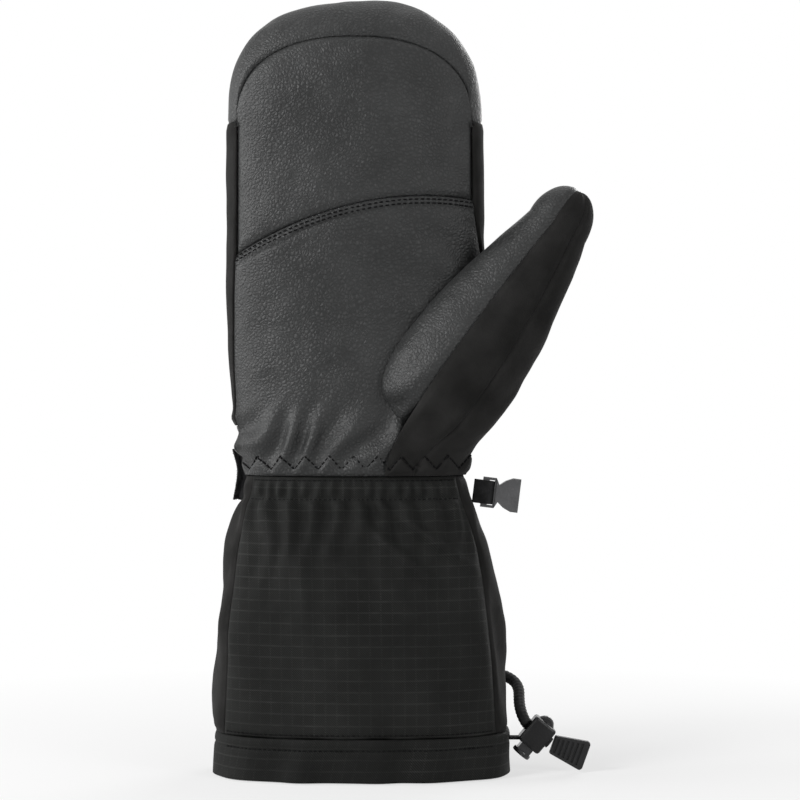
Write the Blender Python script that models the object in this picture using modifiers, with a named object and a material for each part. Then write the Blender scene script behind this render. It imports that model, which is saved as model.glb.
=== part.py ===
"""Ski mitten for the right hand: leather palm, softshell back, gauntlet cuff, wrist strap, clip and drawcord.

Run with: blender --background --python part.py
Frame: metres, +Z towards the fingertips, palm towards -Y, thumb towards +X. It stands on its cuff hem at z = 0.
Sizes below are in millimetres, measured from the middle of the hand, and become metres in add_mesh.
"""

import math

import bmesh
import bpy
from mathutils import Vector

MM = 0.001

# Outline of the hand and cuff
HEM_HALF_WIDTH = 63.9
HEM_DEPTH = 37.0
HEM_OFFSET = 2.8
WRIST_HEIGHT = 127.0
WRIST_HALF_WIDTH = 47.3
WRIST_DEPTH = 28.5
PALM_HALF_WIDTH = 54.5
PALM_DEPTH = 23.5
BACK_DEPTH = 27.0
PALM_LENGTH = 148.0
TIP_RISE = 55.0
SECTION_POWER = 2.5
TIP_POWER = 2.6

# Shares of the way from one named section to the next: (share of the height, share of the change)
CUFF_FLARE = ((0.0, 1.0), (0.47, 0.78), (0.75, 0.5))
PALM_SWELL = ((0.1, 0.42), (0.36, 0.86), (0.62, 1.0), (1.0, 1.0))

# Cloth layers, from the outside in
SHELL = 1.2
HAND_FILL = 4.0
THUMB_FILL = 2.5
MEMBRANE = 0.5
LINING = 1.8
CUFF_LINING = 1.2
FILL_GAP = 0.9
LAYER_GAP = 0.4
SEAM_GAP = 0.3

# Seams of the palm
GUSSET_ANGLE = 360.0 / 14.0
PALM_SEAM_LEFT = 218.0
PALM_SEAM_PEAK = 245.0
PALM_SEAM_PEAK_X = 32.0
TIP_SEAM_ANGLE = 38.0
TIP_SEAM_HALF_WIDTH = 50.0
PINKY_GUSSET_BOTTOM = 148.0
INDEX_GUSSET_BOTTOM = 220.0

# Thumb, as a tube that leans out from the palm
THUMB_ROOT = (35.0, -19.5, 160.0)
THUMB_LEAN = 31.3
THUMB_BASE_WIDTH = 26.0
THUMB_MIDDLE_WIDTH = 25.0
THUMB_END_WIDTH = 13.3
THUMB_BASE_DEPTH = 19.0
THUMB_END_DEPTH = 12.5
THUMB_LENGTH = 88.0
THUMB_TIP_RISE = 18.5
THUMB_SINK = 22.0
THUMB_POWER = 2.3
THUMB_FRONT_SEAM = 60.0
THUMB_PALM_SEAM = 100.0
THUMB_BACK_SEAM = 260.0

# Cuff fittings
HEM_HEIGHT = 18.0
HEM_FOLD = 1.9
HEM_PROUD = 0.3
ELASTIC_HEIGHT = 14.0
ELASTIC_THICKNESS = 1.4
CINCH_HEIGHT = 39.0
CORD_DIAMETER = 5.0
CINCH_DIAMETER = 3.6
EYELET_ANGLE = 30.0
EYELET_RADIUS = 5.2
EYELET_PROUD = 1.0
EYELET_CLEARANCE = 0.4

# Wrist strap with hook and loop, on the back of the wrist
STRAP_WIDTH = 21.5
STRAP_THICKNESS = 1.0
TAPE_THICKNESS = 0.9
STRAP_SEWN_ANGLE = 360.0 / 7.0
STRAP_END_ANGLE = 180.0
LOOP_START_ANGLE = 360.0 / 28.0 * 8.0
HOOK_START_ANGLE = 360.0 / 28.0 * 9.0

# Clip: female half of a 10 mm side-release buckle on a webbing loop
CLIP_DROP = 7.5
CLIP_HEIGHT = WRIST_HEIGHT - CLIP_DROP
CLIP_TILT = 7.0
WEB_WIDTH = 10.0
WEB_THICKNESS = 1.1
WEB_REACH = 5.0
BAR_HALF = 1.4
FRAME_HALF_WIDTH = 6.5
FRAME_THICKNESS = 3.0
BUCKLE_LENGTH = 14.8
BUCKLE_MOUTH_HALF = 7.2
BUCKLE_WAIST_HALF = 3.7
BUCKLE_THICKNESS = 5.6
SOCKET_HALF_WIDTH = 4.9
SOCKET_HEIGHT = 3.2
SOCKET_DEPTH = 6.6
CLIP_CLEARANCE = 0.4

# Cord lock, pull tab and what holds them
LOCK_CENTRE = (78.0, -4.0, 15.9)
LOCK_LEAN = 50.0
LOCK_LENGTH = 13.0
LOCK_WIDTH = 9.5
LOCK_HEIGHT = 11.0
LOCK_DOME_RADIUS = 4.4
LOCK_DOME_RISE = 2.8
LOCK_TRAVEL = 2.4
STEM_WIDTH = 6.8
STEM_HEIGHT = 6.0
STEM_CLEARANCE = 0.3
STEM_END = 2.0
BUTTON_RADIUS = 4.2
BUTTON_THICKNESS = 2.1
CORD_HOLE_RADIUS = 2.7
CORD_HOLE_X = 0.5
SPRING_RADIUS = 2.2
SPRING_WIRE = 0.5
SPRING_TURNS = 3
SPRING_ROOM = 4.6
ANCHOR_WIDTH = 5.0
ANCHOR_THICKNESS = 1.2
TAIL_LENGTH = 3.4
TAB_LEAN = 20.0
TAB_LENGTH = 15.5
TAB_NARROW_HALF = 4.0
TAB_WIDE_HALF = 6.5
TAB_THICKNESS = 3.5
TAB_RIBS = 5
TAB_RIB_PITCH = 2.1
TAB_GROOVE = 0.7

# Free stretch of the drawcord, from the eyelet to the cord lock, as points chosen by hand
CORD_ROUTE = (
    (60.6, 24.6, 39.4),
    (64.2, 22.0, 38.6),
    (67.0, 15.8, 36.0),
    (68.6, 8.6, 32.0),
    (69.0, 2.6, 27.8),
    (70.6, -2.4, 23.6),
)

HAND_COLUMNS = 28
THUMB_COLUMNS = 18
COLUMN = 360.0 / HAND_COLUMNS
THUMB_COLUMN = 360.0 / THUMB_COLUMNS
DOME_STEP = 15.0
POLE = 90.0

TIP_START = WRIST_HEIGHT + PALM_LENGTH
FILL_OUTER = SHELL + FILL_GAP
FILL_INNER = FILL_OUTER + HAND_FILL
MEMBRANE_OUTER = FILL_INNER + LAYER_GAP
MEMBRANE_INNER = MEMBRANE_OUTER + MEMBRANE
LINING_OUTER = MEMBRANE_INNER + LAYER_GAP
CAVITY = LINING_OUTER + LINING
CUFF_CAVITY = LINING_OUTER + CUFF_LINING
THUMB_FILL_INNER = FILL_OUTER + THUMB_FILL
THUMB_MEMBRANE_OUTER = THUMB_FILL_INNER + LAYER_GAP
THUMB_MEMBRANE_INNER = THUMB_MEMBRANE_OUTER + MEMBRANE
THUMB_LINING_OUTER = THUMB_MEMBRANE_INNER + LAYER_GAP
THUMB_CAVITY = THUMB_LINING_OUTER + LINING
CUFF_TOP = WRIST_HEIGHT - ELASTIC_HEIGHT - SEAM_GAP

# Heights shared by every hand layer, so that their facets nest
CUFF_ROWS = tuple(WRIST_HEIGHT * share for share in (0.33, 0.5, 0.66, 0.79))
WRIST_ROWS = (WRIST_HEIGHT - ELASTIC_HEIGHT, WRIST_HEIGHT - ELASTIC_HEIGHT / 2, WRIST_HEIGHT)
PALM_ROWS = tuple(WRIST_HEIGHT + PALM_LENGTH * share for share in (0.05, 0.14, 0.26, 0.4, 0.55, 0.7, 0.85, 1.0))
DOME_ROWS = tuple(TIP_START + DOME_STEP * step for step in range(1, 7))
ALL_ROWS = (0.0, HEM_HEIGHT) + CUFF_ROWS + WRIST_ROWS + PALM_ROWS + DOME_ROWS
THUMB_ROWS = tuple(THUMB_LENGTH * share for share in (-0.25, 0.0, 0.2, 0.4, 0.6, 0.8, 1.0))
THUMB_DOME_ROWS = tuple(THUMB_LENGTH + latitude for latitude in (22.5, 45.0, 67.5, 90.0))


def clear_scene():
    for obj in list(bpy.data.objects):
        bpy.data.objects.remove(obj)


def new_collection(name):
    collection = bpy.data.collections.new(name)
    bpy.context.scene.collection.children.link(collection)
    return collection


def material(name, colour, roughness, metallic=0.0):
    made = bpy.data.materials.new(name)
    made.use_nodes = True
    shader = made.node_tree.nodes["Principled BSDF"]
    shader.inputs["Base Color"].default_value = (*colour, 1.0)
    shader.inputs["Roughness"].default_value = roughness
    shader.inputs["Metallic"].default_value = metallic
    return made


def smooth_value(stations, place):
    """Value at place on a smooth curve through (place, value) stations."""
    last = len(stations) - 1
    index = 0
    while index < last - 1 and place > stations[index + 1][0]:
        index += 1

    def slope(at):
        low = stations[max(at - 1, 0)]
        high = stations[min(at + 1, last)]
        return (high[1] - low[1]) / (high[0] - low[0])

    start, end = stations[index], stations[index + 1]
    span = end[0] - start[0]
    t = min(max((place - start[0]) / span, 0.0), 1.0)
    rise = (2 * t**3 - 3 * t**2 + 1) * start[1] + (3 * t**2 - 2 * t**3) * end[1]
    return rise + span * ((t**3 - 2 * t**2 + t) * slope(index) + (t**3 - t**2) * slope(index + 1))


def section_size(hem, wrist, palm, height):
    """A size of the cross-section at this height, from its sizes at the hem, the wrist and the palm."""
    cuff = [(WRIST_HEIGHT * share, wrist + (hem - wrist) * flare) for share, flare in CUFF_FLARE]
    hand = [(WRIST_HEIGHT + PALM_LENGTH * share, wrist + (palm - wrist) * swell) for share, swell in PALM_SWELL]
    return smooth_value(cuff + [(WRIST_HEIGHT, wrist)] + hand, height)


def signed_power(value, power):
    return math.copysign(abs(value) ** power, value)


def hand_point(angle, rise, inset):
    """Point of the hand's surface. Below TIP_START rise is a height, and above it adds a latitude in degrees."""
    height = min(rise, TIP_START)
    half_width = section_size(HEM_HALF_WIDTH, WRIST_HALF_WIDTH, PALM_HALF_WIDTH, height) - inset
    front = section_size(HEM_DEPTH, WRIST_DEPTH, PALM_DEPTH, height) - inset
    back = section_size(HEM_DEPTH, WRIST_DEPTH, BACK_DEPTH, height) - inset
    centre = section_size(HEM_OFFSET, 0.0, 0.0, height)
    shrink = 1.0
    if rise > TIP_START:
        latitude = math.radians(rise - TIP_START)
        shrink = abs(math.cos(latitude)) ** (2 / TIP_POWER)
        height = TIP_START + (TIP_RISE - inset) * math.sin(latitude) ** (2 / TIP_POWER)
    turn = math.radians(angle)
    across = signed_power(math.cos(turn), 2 / SECTION_POWER)
    through = signed_power(math.sin(turn), 2 / SECTION_POWER)
    depth = front if through < 0 else back
    return Vector((centre + half_width * shrink * across, depth * shrink * through, height))


def thumb_point(angle, along, inset):
    """Point of the thumb's surface. Angle 0 faces out and down, 90 the palm side and 180 the fingers."""
    place = min(along, THUMB_LENGTH)
    lean = math.radians(THUMB_LEAN)
    axis = Vector((math.sin(lean), 0.0, math.cos(lean)))
    outward = Vector((math.cos(lean), 0.0, -math.sin(lean)))
    sunk = -THUMB_SINK
    width = smooth_value(
        ((sunk, THUMB_BASE_WIDTH * 0.77), (0.0, THUMB_BASE_WIDTH), (THUMB_LENGTH * 0.41, THUMB_MIDDLE_WIDTH),
         (THUMB_LENGTH * 0.79, (THUMB_MIDDLE_WIDTH + THUMB_END_WIDTH) * 0.48), (THUMB_LENGTH, THUMB_END_WIDTH)), place)
    depth = smooth_value(
        ((sunk, THUMB_BASE_DEPTH * 0.79), (0.0, THUMB_BASE_DEPTH), (THUMB_LENGTH, THUMB_END_DEPTH)), place)
    aside = smooth_value(((sunk, -1.0), (0.0, 0.0), (THUMB_LENGTH * 0.41, 2.4), (THUMB_LENGTH, 6.0)), place)
    behind = smooth_value(((sunk, 13.5), (0.0, 0.0), (THUMB_LENGTH, 4.0)), place)
    shrink = 1.0
    if along > THUMB_LENGTH:
        latitude = math.radians(along - THUMB_LENGTH)
        shrink = abs(math.cos(latitude)) ** (2 / THUMB_POWER)
        place = THUMB_LENGTH + (THUMB_TIP_RISE - inset) * math.sin(latitude) ** (2 / THUMB_POWER)
    turn = math.radians(angle)
    across = aside + (width - inset) * shrink * signed_power(math.cos(turn), 2 / THUMB_POWER)
    through = behind - (depth - inset) * shrink * signed_power(math.sin(turn), 2 / THUMB_POWER)
    return Vector(THUMB_ROOT) + axis * place + outward * across + Vector((0.0, through, 0.0))


def add_mesh(name, build, look, collection, location=(0.0, 0.0, 0.0)):
    """Object whose mesh build(bm) fills in millimetres."""
    bm = bmesh.new()
    build(bm)
    bmesh.ops.remove_doubles(bm, verts=bm.verts, dist=0.001)
    bmesh.ops.recalc_face_normals(bm, faces=bm.faces)
    bmesh.ops.scale(bm, vec=(MM, MM, MM), verts=bm.verts)
    mesh = bpy.data.meshes.new(name)
    bm.to_mesh(mesh)
    bm.free()
    for polygon in mesh.polygons:
        polygon.use_smooth = True
    obj = bpy.data.objects.new(name, mesh)
    obj.location = Vector(location) * MM
    if look:
        mesh.materials.append(look)
    collection.objects.link(obj)
    return obj


def skin_rows(bm, rows, closed_columns, closed_rows):
    """Quads between rows of points, and the rows of vertices."""
    verts = [[bm.verts.new(point) for point in row] for row in rows]
    width = len(verts[0])
    for upper in range(1 if not closed_rows else 0, len(verts)):
        for right in range(0 if closed_columns else 1, width):
            below, above = verts[upper - 1], verts[upper]
            bm.faces.new((below[right - 1], below[right], above[right], above[right - 1]))
    return verts


def join_rims(bm, outer, inner):
    """Walls between the four edges of an outer and an inner sheet."""
    def rim(sheet):
        left = [row[0] for row in sheet[1:-1]]
        right = [row[-1] for row in sheet[1:-1]]
        return sheet[0] + right + sheet[-1][::-1] + left[::-1]

    outside, inside = rim(outer), rim(inner)
    for index in range(len(outside)):
        bm.faces.new((outside[index - 1], outside[index], inside[index], inside[index - 1]))


def add_patch(name, surface, columns, rows_at, outer, inner, look, collection, shift=(0.0, 0.0, 0.0)):
    """Piece of cloth between two insets of a surface; rows_at(angle) lists its rises, and an inset may be a function."""
    def sheet(inset):
        depth_at = inset if callable(inset) else lambda angle: inset
        columns_of_points = [
            [surface(angle, rise, depth_at(angle)) + Vector(shift) for rise in rows_at(angle)] for angle in columns]
        return [list(row) for row in zip(*columns_of_points)]

    def build(bm):
        outside = skin_rows(bm, sheet(outer), False, False)
        inside = skin_rows(bm, sheet(inner), False, False)
        join_rims(bm, outside, inside)

    return add_mesh(name, build, look, collection)


def add_ring(name, surface, columns, profile, look, collection):
    """Ring swept round a surface; profile is a closed loop of (rise, inset)."""
    def build(bm):
        rows = [[surface(angle, rise, inset) for angle in columns] for rise, inset in profile]
        skin_rows(bm, rows, True, True)

    return add_mesh(name, build, look, collection)


def add_bag(name, surface, columns, rows, outer, inner, look, collection):
    """Bag open at its first row and closed at its last, which is a pole."""
    def build(bm):
        outside = [[surface(angle, rise, outer) for angle in columns] for rise in rows]
        inside = [[surface(angle, rise, inner) for angle in columns] for rise in rows]
        skin_rows(bm, outside[::-1] + inside, True, False)

    return add_mesh(name, build, look, collection)


def add_plug(name, surface, columns, rows, inset, collection):
    """Solid filling of a bag, for cutting."""
    def build(bm):
        verts = skin_rows(bm, [[surface(angle, rise, inset) for angle in columns] for rise in rows], True, False)
        bm.faces.new(verts[0])

    return add_cutter(add_mesh(name, build, None, collection))


def add_cutter(obj):
    obj.display_type = "WIRE"
    obj.hide_render = True
    return obj


def cut(obj, cutter, operation="DIFFERENCE", crossing=False):
    """Boolean with a cutter; crossing says that the cutter's own solids cross each other."""
    boolean = obj.modifiers.new(cutter.name, "BOOLEAN")
    boolean.operation = operation
    boolean.solver = "EXACT"
    boolean.use_self = crossing
    boolean.object = cutter


def bevel(obj, width, segments=2):
    rounded = obj.modifiers.new("rounded edges", "BEVEL")
    rounded.width = width * MM
    rounded.segments = segments
    rounded.limit_method = "ANGLE"


def box(bm, low, high):
    size = Vector(high) - Vector(low)
    middle = (Vector(high) + Vector(low)) / 2
    made = bmesh.ops.create_cube(bm, size=1.0)["verts"]
    bmesh.ops.scale(bm, vec=size, verts=made)
    bmesh.ops.translate(bm, vec=middle, verts=made)


def cylinder(bm, radius, low, high, axis, segments=20):
    """Cylinder along local axis 0, 1 or 2 between two points that differ on it."""
    made = bmesh.ops.create_cone(
        bm, cap_ends=True, segments=segments, radius1=radius, radius2=radius, depth=high[axis] - low[axis])["verts"]
    if axis == 0:
        bmesh.ops.rotate(bm, verts=made, cent=(0, 0, 0), matrix=Vector((0, 0, 1)).rotation_difference(
            Vector((1, 0, 0))).to_matrix())
    if axis == 1:
        bmesh.ops.rotate(bm, verts=made, cent=(0, 0, 0), matrix=Vector((0, 0, 1)).rotation_difference(
            Vector((0, 1, 0))).to_matrix())
    bmesh.ops.translate(bm, vec=(Vector(low) + Vector(high)) / 2, verts=made)


def add_tube(name, points, radius, look, collection, cyclic=False, resolution=2):
    """Round cord along points, as a mesh so that its ends are closed."""
    curve = bpy.data.curves.new(name, "CURVE")
    curve.dimensions = "3D"
    curve.bevel_depth = radius * MM
    curve.bevel_resolution = resolution
    curve.use_fill_caps = not cyclic
    spline = curve.splines.new("POLY")
    spline.points.add(len(points) - 1)
    for target, point in zip(spline.points, points):
        target.co = (*(Vector(point) * MM), 1.0)
    spline.use_cyclic_u = cyclic
    spline.use_smooth = True
    curve.materials.append(look)
    obj = bpy.data.objects.new(name, curve)
    collection.objects.link(obj)
    return obj


def add_outline(name, points, thickness, look, collection):
    """Flat plate: a 2D outline in local X and Y, extruded along local Z."""
    curve = bpy.data.curves.new(name, "CURVE")
    curve.dimensions = "2D"
    curve.fill_mode = "BOTH"
    curve.extrude = thickness / 2 * MM
    spline = curve.splines.new("POLY")
    spline.points.add(len(points) - 1)
    for target, (x, y) in zip(spline.points, points):
        target.co = (x * MM, y * MM, 0.0, 1.0)
    spline.use_cyclic_u = True
    flat = bpy.data.objects.new(name + " outline", curve)
    collection.objects.link(flat)
    mesh = bpy.data.meshes.new_from_object(flat.evaluated_get(bpy.context.evaluated_depsgraph_get()))
    bpy.data.objects.remove(flat)
    bm = bmesh.new()
    bm.from_mesh(mesh)
    bmesh.ops.remove_doubles(bm, verts=bm.verts, dist=0.000001)
    bmesh.ops.recalc_face_normals(bm, faces=bm.faces)
    bm.to_mesh(mesh)
    bm.free()
    mesh.name = name
    mesh.materials.append(look)
    obj = bpy.data.objects.new(name, mesh)
    collection.objects.link(obj)
    return obj


def span(start, end, count):
    return [start + (end - start) * step / count for step in range(count + 1)]


def rows_between(start, end):
    """The shared rows between two rises, with both ends."""
    return [start] + [row for row in ALL_ROWS if start + 0.5 < row < end - 0.5] + [end]


def columns_between(start, end, step=COLUMN):
    return span(start, end, round((end - start) / step))


def palm_x(angle):
    return PALM_HALF_WIDTH * signed_power(math.cos(math.radians(angle)), 2 / SECTION_POWER)


def palm_seam(angle):
    """Height of the curved seam across the palm."""
    reach = (PALM_SEAM_PEAK_X - palm_x(angle)) / (PALM_SEAM_PEAK_X + PALM_HALF_WIDTH)
    return PALM_SEAM_PEAK - (PALM_SEAM_PEAK - PALM_SEAM_LEFT) * reach**2


def on_palm(angle):
    return 180.0 + GUSSET_ANGLE - 0.1 < angle < 360.0 - GUSSET_ANGLE + 0.1


def palm_top(angle):
    """Top edge of the lower palm panel: the palm seam, and below the gussets at the sides."""
    if on_palm(angle):
        return palm_seam(angle)
    return PINKY_GUSSET_BOTTOM if angle < 270.0 else INDEX_GUSSET_BOTTOM


def tip_seam(angle):
    """Rise of the U-shaped seam below the fingertip cap."""
    reach = min(abs(palm_x(angle)) / TIP_SEAM_HALF_WIDTH, 1.0)
    return TIP_START + TIP_SEAM_ANGLE * (1.0 - reach**2.4) ** (1 / 2.4)


def make_shell(parts, looks):
    """Outer panels of the hand."""
    gap = SEAM_GAP / 2
    gap_angle = math.degrees(SEAM_GAP / PALM_DEPTH)
    front = (0.0, -gap, 0.0)
    back = (0.0, gap, 0.0)
    low = WRIST_HEIGHT + gap
    firm_rows = PALM_ROWS[:1]
    leather, softshell = looks["leather"], looks["softshell"]

    def lower_rows(angle):
        return [low, *firm_rows] + span(PALM_ROWS[1], palm_top(angle) - gap, 5)

    def upper_rows(angle):
        return span(palm_seam(angle) + gap, TIP_START, 3) + span(TIP_START, tip_seam(angle) - gap, 5)[1:]

    def cap_rows(angle):
        return span(tip_seam(angle) + gap, DOME_ROWS[2], 5) + list(DOME_ROWS[3:])

    palm = columns_between(180.0 + GUSSET_ANGLE, 360.0 - GUSSET_ANGLE)
    half = columns_between(180.0, 360.0)
    lower = add_patch("palm_lower_panel", hand_point, half, lower_rows, 0.0, SHELL, leather, parts, front)
    add_patch("palm_upper_panel", hand_point, palm, upper_rows, 0.0, SHELL, leather, parts, front)
    add_patch("fingertip_cap", hand_point, half, cap_rows, 0.0, SHELL, leather, parts, front)

    def gusset_rows(angle):
        return span(palm_top(angle) + 4 * SEAM_GAP, TIP_START - gap, 6)

    def gusset_point(angle, rise, inset):
        """The gusset stops short of the palm panels at its inner edge."""
        away = math.copysign(gap_angle, angle - 270.0) if on_palm(angle) else 0.0
        return hand_point(angle + away, rise, inset)

    pinky = columns_between(180.0, 180.0 + GUSSET_ANGLE)
    index = columns_between(360.0 - GUSSET_ANGLE, 360.0)
    add_patch("pinky_side_gusset", gusset_point, pinky, gusset_rows, 0.0, SHELL, softshell, parts, front)
    gusset = add_patch("index_side_gusset", gusset_point, index, gusset_rows, 0.0, SHELL, softshell, parts, front)
    rows = rows_between(low, TIP_START + POLE)
    add_patch("back_hand_panel", hand_point, columns_between(0.0, 180.0), lambda angle: rows, 0.0, SHELL,
              softshell, parts, back)
    return [lower, gusset]


def make_fill(parts, looks):
    """Insulation of the hand, the waterproof insert, and the lining in two halves sewn at the sides."""
    gap = SEAM_GAP / 2
    rows = rows_between(WRIST_HEIGHT + SEAM_GAP, TIP_START + POLE)
    palm = add_patch("palm_insulation", hand_point, columns_between(180.0, 360.0), lambda angle: rows,
                     FILL_OUTER, FILL_INNER, looks["fill"], parts, (0.0, -gap, 0.0))
    add_patch("back_insulation", hand_point, columns_between(0.0, 180.0), lambda angle: rows,
              FILL_OUTER, FILL_INNER, looks["fill"], parts, (0.0, gap, 0.0))
    ring = columns_between(0.0, 360.0)[:-1]
    bag_rows = rows_between(WRIST_HEIGHT - ELASTIC_HEIGHT, TIP_START + POLE)
    membrane = add_bag("hand_membrane", hand_point, ring, bag_rows, MEMBRANE_OUTER, MEMBRANE_INNER,
                       looks["membrane"], parts)
    palm_lining = add_patch("palm_lining", hand_point, columns_between(180.0, 360.0), lambda angle: bag_rows,
                            LINING_OUTER, CAVITY, looks["lining"], parts, (0.0, -gap, 0.0))
    back_lining = add_patch("back_lining", hand_point, columns_between(0.0, 180.0), lambda angle: bag_rows,
                            LINING_OUTER, CAVITY, looks["lining"], parts, (0.0, gap, 0.0))
    return [palm, membrane, palm_lining, back_lining]


def make_thumb(parts, cutters, looks, hand_pieces):
    """Thumb tube through the palm, with its own panels and layers, and the hole for it in the hand's layers."""
    ring = columns_between(0.0, 360.0, THUMB_COLUMN)[:-1]
    rows = THUMB_ROWS + THUMB_DOME_ROWS
    seams = (("thumb_outer_panel", THUMB_BACK_SEAM - 360.0, THUMB_FRONT_SEAM, "softshell"),
             ("thumb_front_panel", THUMB_FRONT_SEAM, THUMB_PALM_SEAM, "softshell"),
             ("thumb_inner_panel", THUMB_PALM_SEAM, THUMB_BACK_SEAM, "leather"))
    pieces = []
    lean = math.radians(THUMB_LEAN)
    for name, start, end, look in seams:
        middle = math.radians((start + end) / 2)
        aside = SEAM_GAP * 0.7 * math.cos(middle)
        shift = (aside * math.cos(lean), -SEAM_GAP * 0.7 * math.sin(middle), -aside * math.sin(lean))
        pieces.append(add_patch(name, thumb_point, columns_between(start, end, THUMB_COLUMN), lambda angle: rows,
                                0.0, SHELL, looks[look], parts, shift))
    for name, outer, inner, look in (("thumb_insulation", FILL_OUTER, THUMB_FILL_INNER, "fill"),
                                     ("thumb_membrane", THUMB_MEMBRANE_OUTER, THUMB_MEMBRANE_INNER, "membrane")):
        pieces.append(add_bag(name, thumb_point, ring, rows, outer, inner, looks[look], parts))
    for name, start, side in (("thumb_palm_lining", 0.0, -SEAM_GAP / 2), ("thumb_back_lining", 180.0, SEAM_GAP / 2)):
        pieces.append(add_patch(name, thumb_point, columns_between(start, start + 180.0, THUMB_COLUMN),
                                lambda angle: rows, THUMB_LINING_OUTER, THUMB_CAVITY, looks["lining"], parts,
                                (0.0, side, 0.0)))
    hand_rows = rows_between(WRIST_HEIGHT - ELASTIC_HEIGHT, TIP_START + POLE)
    hand_hollow = add_plug("hand_hollow", hand_point, columns_between(0.0, 360.0)[:-1], hand_rows, CAVITY, cutters)
    thumb_hole = add_plug("thumb_hole", thumb_point, ring, rows, -SEAM_GAP * 1.7, cutters)
    for piece in pieces:
        cut(piece, hand_hollow)
    for piece in hand_pieces:
        cut(piece, thumb_hole)


def make_cuff(parts, cutters, looks):
    """Gauntlet panels, folded hem, wrist elastic, cuff filling and lining, and the cinch cord in its channel."""
    gap = SEAM_GAP / 2
    ring = columns_between(0.0, 360.0)[:-1]
    rows = rows_between(HEM_HEIGHT + gap, WRIST_HEIGHT - gap)
    edge = math.degrees(gap / HEM_DEPTH)
    front_columns = columns_between(180.0 + GUSSET_ANGLE, 360.0 - GUSSET_ANGLE)
    front_columns[0] += edge
    front_columns[-1] -= edge
    back_columns = columns_between(-GUSSET_ANGLE, 180.0 + GUSSET_ANGLE)
    back_columns[0] += edge
    back_columns[-1] -= edge
    add_patch("gauntlet_front_panel", hand_point, front_columns, lambda angle: rows, 0.0, SHELL,
              looks["twill"], parts)
    back = add_patch("gauntlet_back_panel", hand_point, back_columns, lambda angle: rows, 0.0, SHELL,
                     looks["softshell"], parts)
    fold_inner = CUFF_CAVITY - HEM_FOLD
    hem_top = HEM_HEIGHT - gap
    add_ring("hem_band", hand_point, ring,
             ((hem_top, -HEM_PROUD), (0.0, -HEM_PROUD), (0.0, CUFF_CAVITY), (hem_top, CUFF_CAVITY),
              (hem_top, fold_inner), (HEM_FOLD, fold_inner), (HEM_FOLD, HEM_FOLD), (hem_top, HEM_FOLD)),
             looks["hem"], parts)
    elastic_rows = (WRIST_ROWS[0] + gap, WRIST_ROWS[1], WRIST_ROWS[2] - gap)
    elastic_inner = FILL_OUTER + ELASTIC_THICKNESS
    add_ring("wrist_elastic", hand_point, ring,
             [(row, FILL_OUTER) for row in elastic_rows] + [(row, elastic_inner) for row in elastic_rows[::-1]],
             looks["elastic"], parts)
    fill_rows = rows_between(CINCH_HEIGHT + CINCH_DIAMETER / 2 + SEAM_GAP, CUFF_TOP)
    add_ring("cuff_insulation", hand_point, ring,
             [(row, FILL_OUTER) for row in fill_rows] + [(row, FILL_INNER) for row in fill_rows[::-1]],
             looks["fill"], parts)
    lining_rows = rows_between(hem_top + SEAM_GAP, CUFF_TOP)
    add_ring("cuff_lining", hand_point, ring,
             [(row, LINING_OUTER) for row in lining_rows] + [(row, CUFF_CAVITY) for row in lining_rows[::-1]],
             looks["lining"], parts)
    middle = FILL_OUTER + SEAM_GAP + CINCH_DIAMETER / 2
    add_tube("cinch_cord", [hand_point(angle, CINCH_HEIGHT, middle) for angle in ring], CINCH_DIAMETER / 2,
             looks["cord"], parts, cyclic=True, resolution=1)
    make_eyelet(parts, cutters, looks, back)


def outward_at(angle, rise):
    """Level direction out of the hand's surface."""
    along = hand_point(angle + 1.0, rise, 0.0) - hand_point(angle - 1.0, rise, 0.0)
    return Vector((along.y, -along.x, 0.0)).normalized()


def make_eyelet(parts, cutters, looks, panel):
    """Ring pressed through the back panel where the drawcord comes out."""
    outward = outward_at(EYELET_ANGLE, CINCH_HEIGHT)
    centre = hand_point(EYELET_ANGLE, CINCH_HEIGHT, 0.0)
    hole = CORD_DIAMETER / 2 + EYELET_CLEARANCE
    neck = hole + 0.8
    behind = SHELL + SEAM_GAP
    front = SEAM_GAP + EYELET_PROUD

    def build(bm):
        segments = 24
        profile = ((-behind, hole), (front, hole), (front, EYELET_RADIUS), (SEAM_GAP * 2, EYELET_RADIUS),
                   (SEAM_GAP * 2, neck), (-behind, neck))
        rows = []
        for along, radius in profile:
            turns = [math.tau * step / segments for step in range(segments)]
            rows.append([Vector((radius * math.cos(turn), radius * math.sin(turn), along)) for turn in turns])
        skin_rows(bm, rows, True, True)

    def build_hole(bm):
        cylinder(bm, neck + SEAM_GAP, (0, 0, -4 * SHELL), (0, 0, 4 * SHELL), 2)

    turn = outward.to_track_quat("Z", "Y").to_euler()
    eyelet = add_mesh("cord_eyelet", build, looks["metal"], parts, centre)
    eyelet.rotation_euler = turn
    opening = add_cutter(add_mesh("eyelet_opening", build_hole, None, cutters, centre))
    opening.rotation_euler = turn
    cut(panel, opening)


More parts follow.
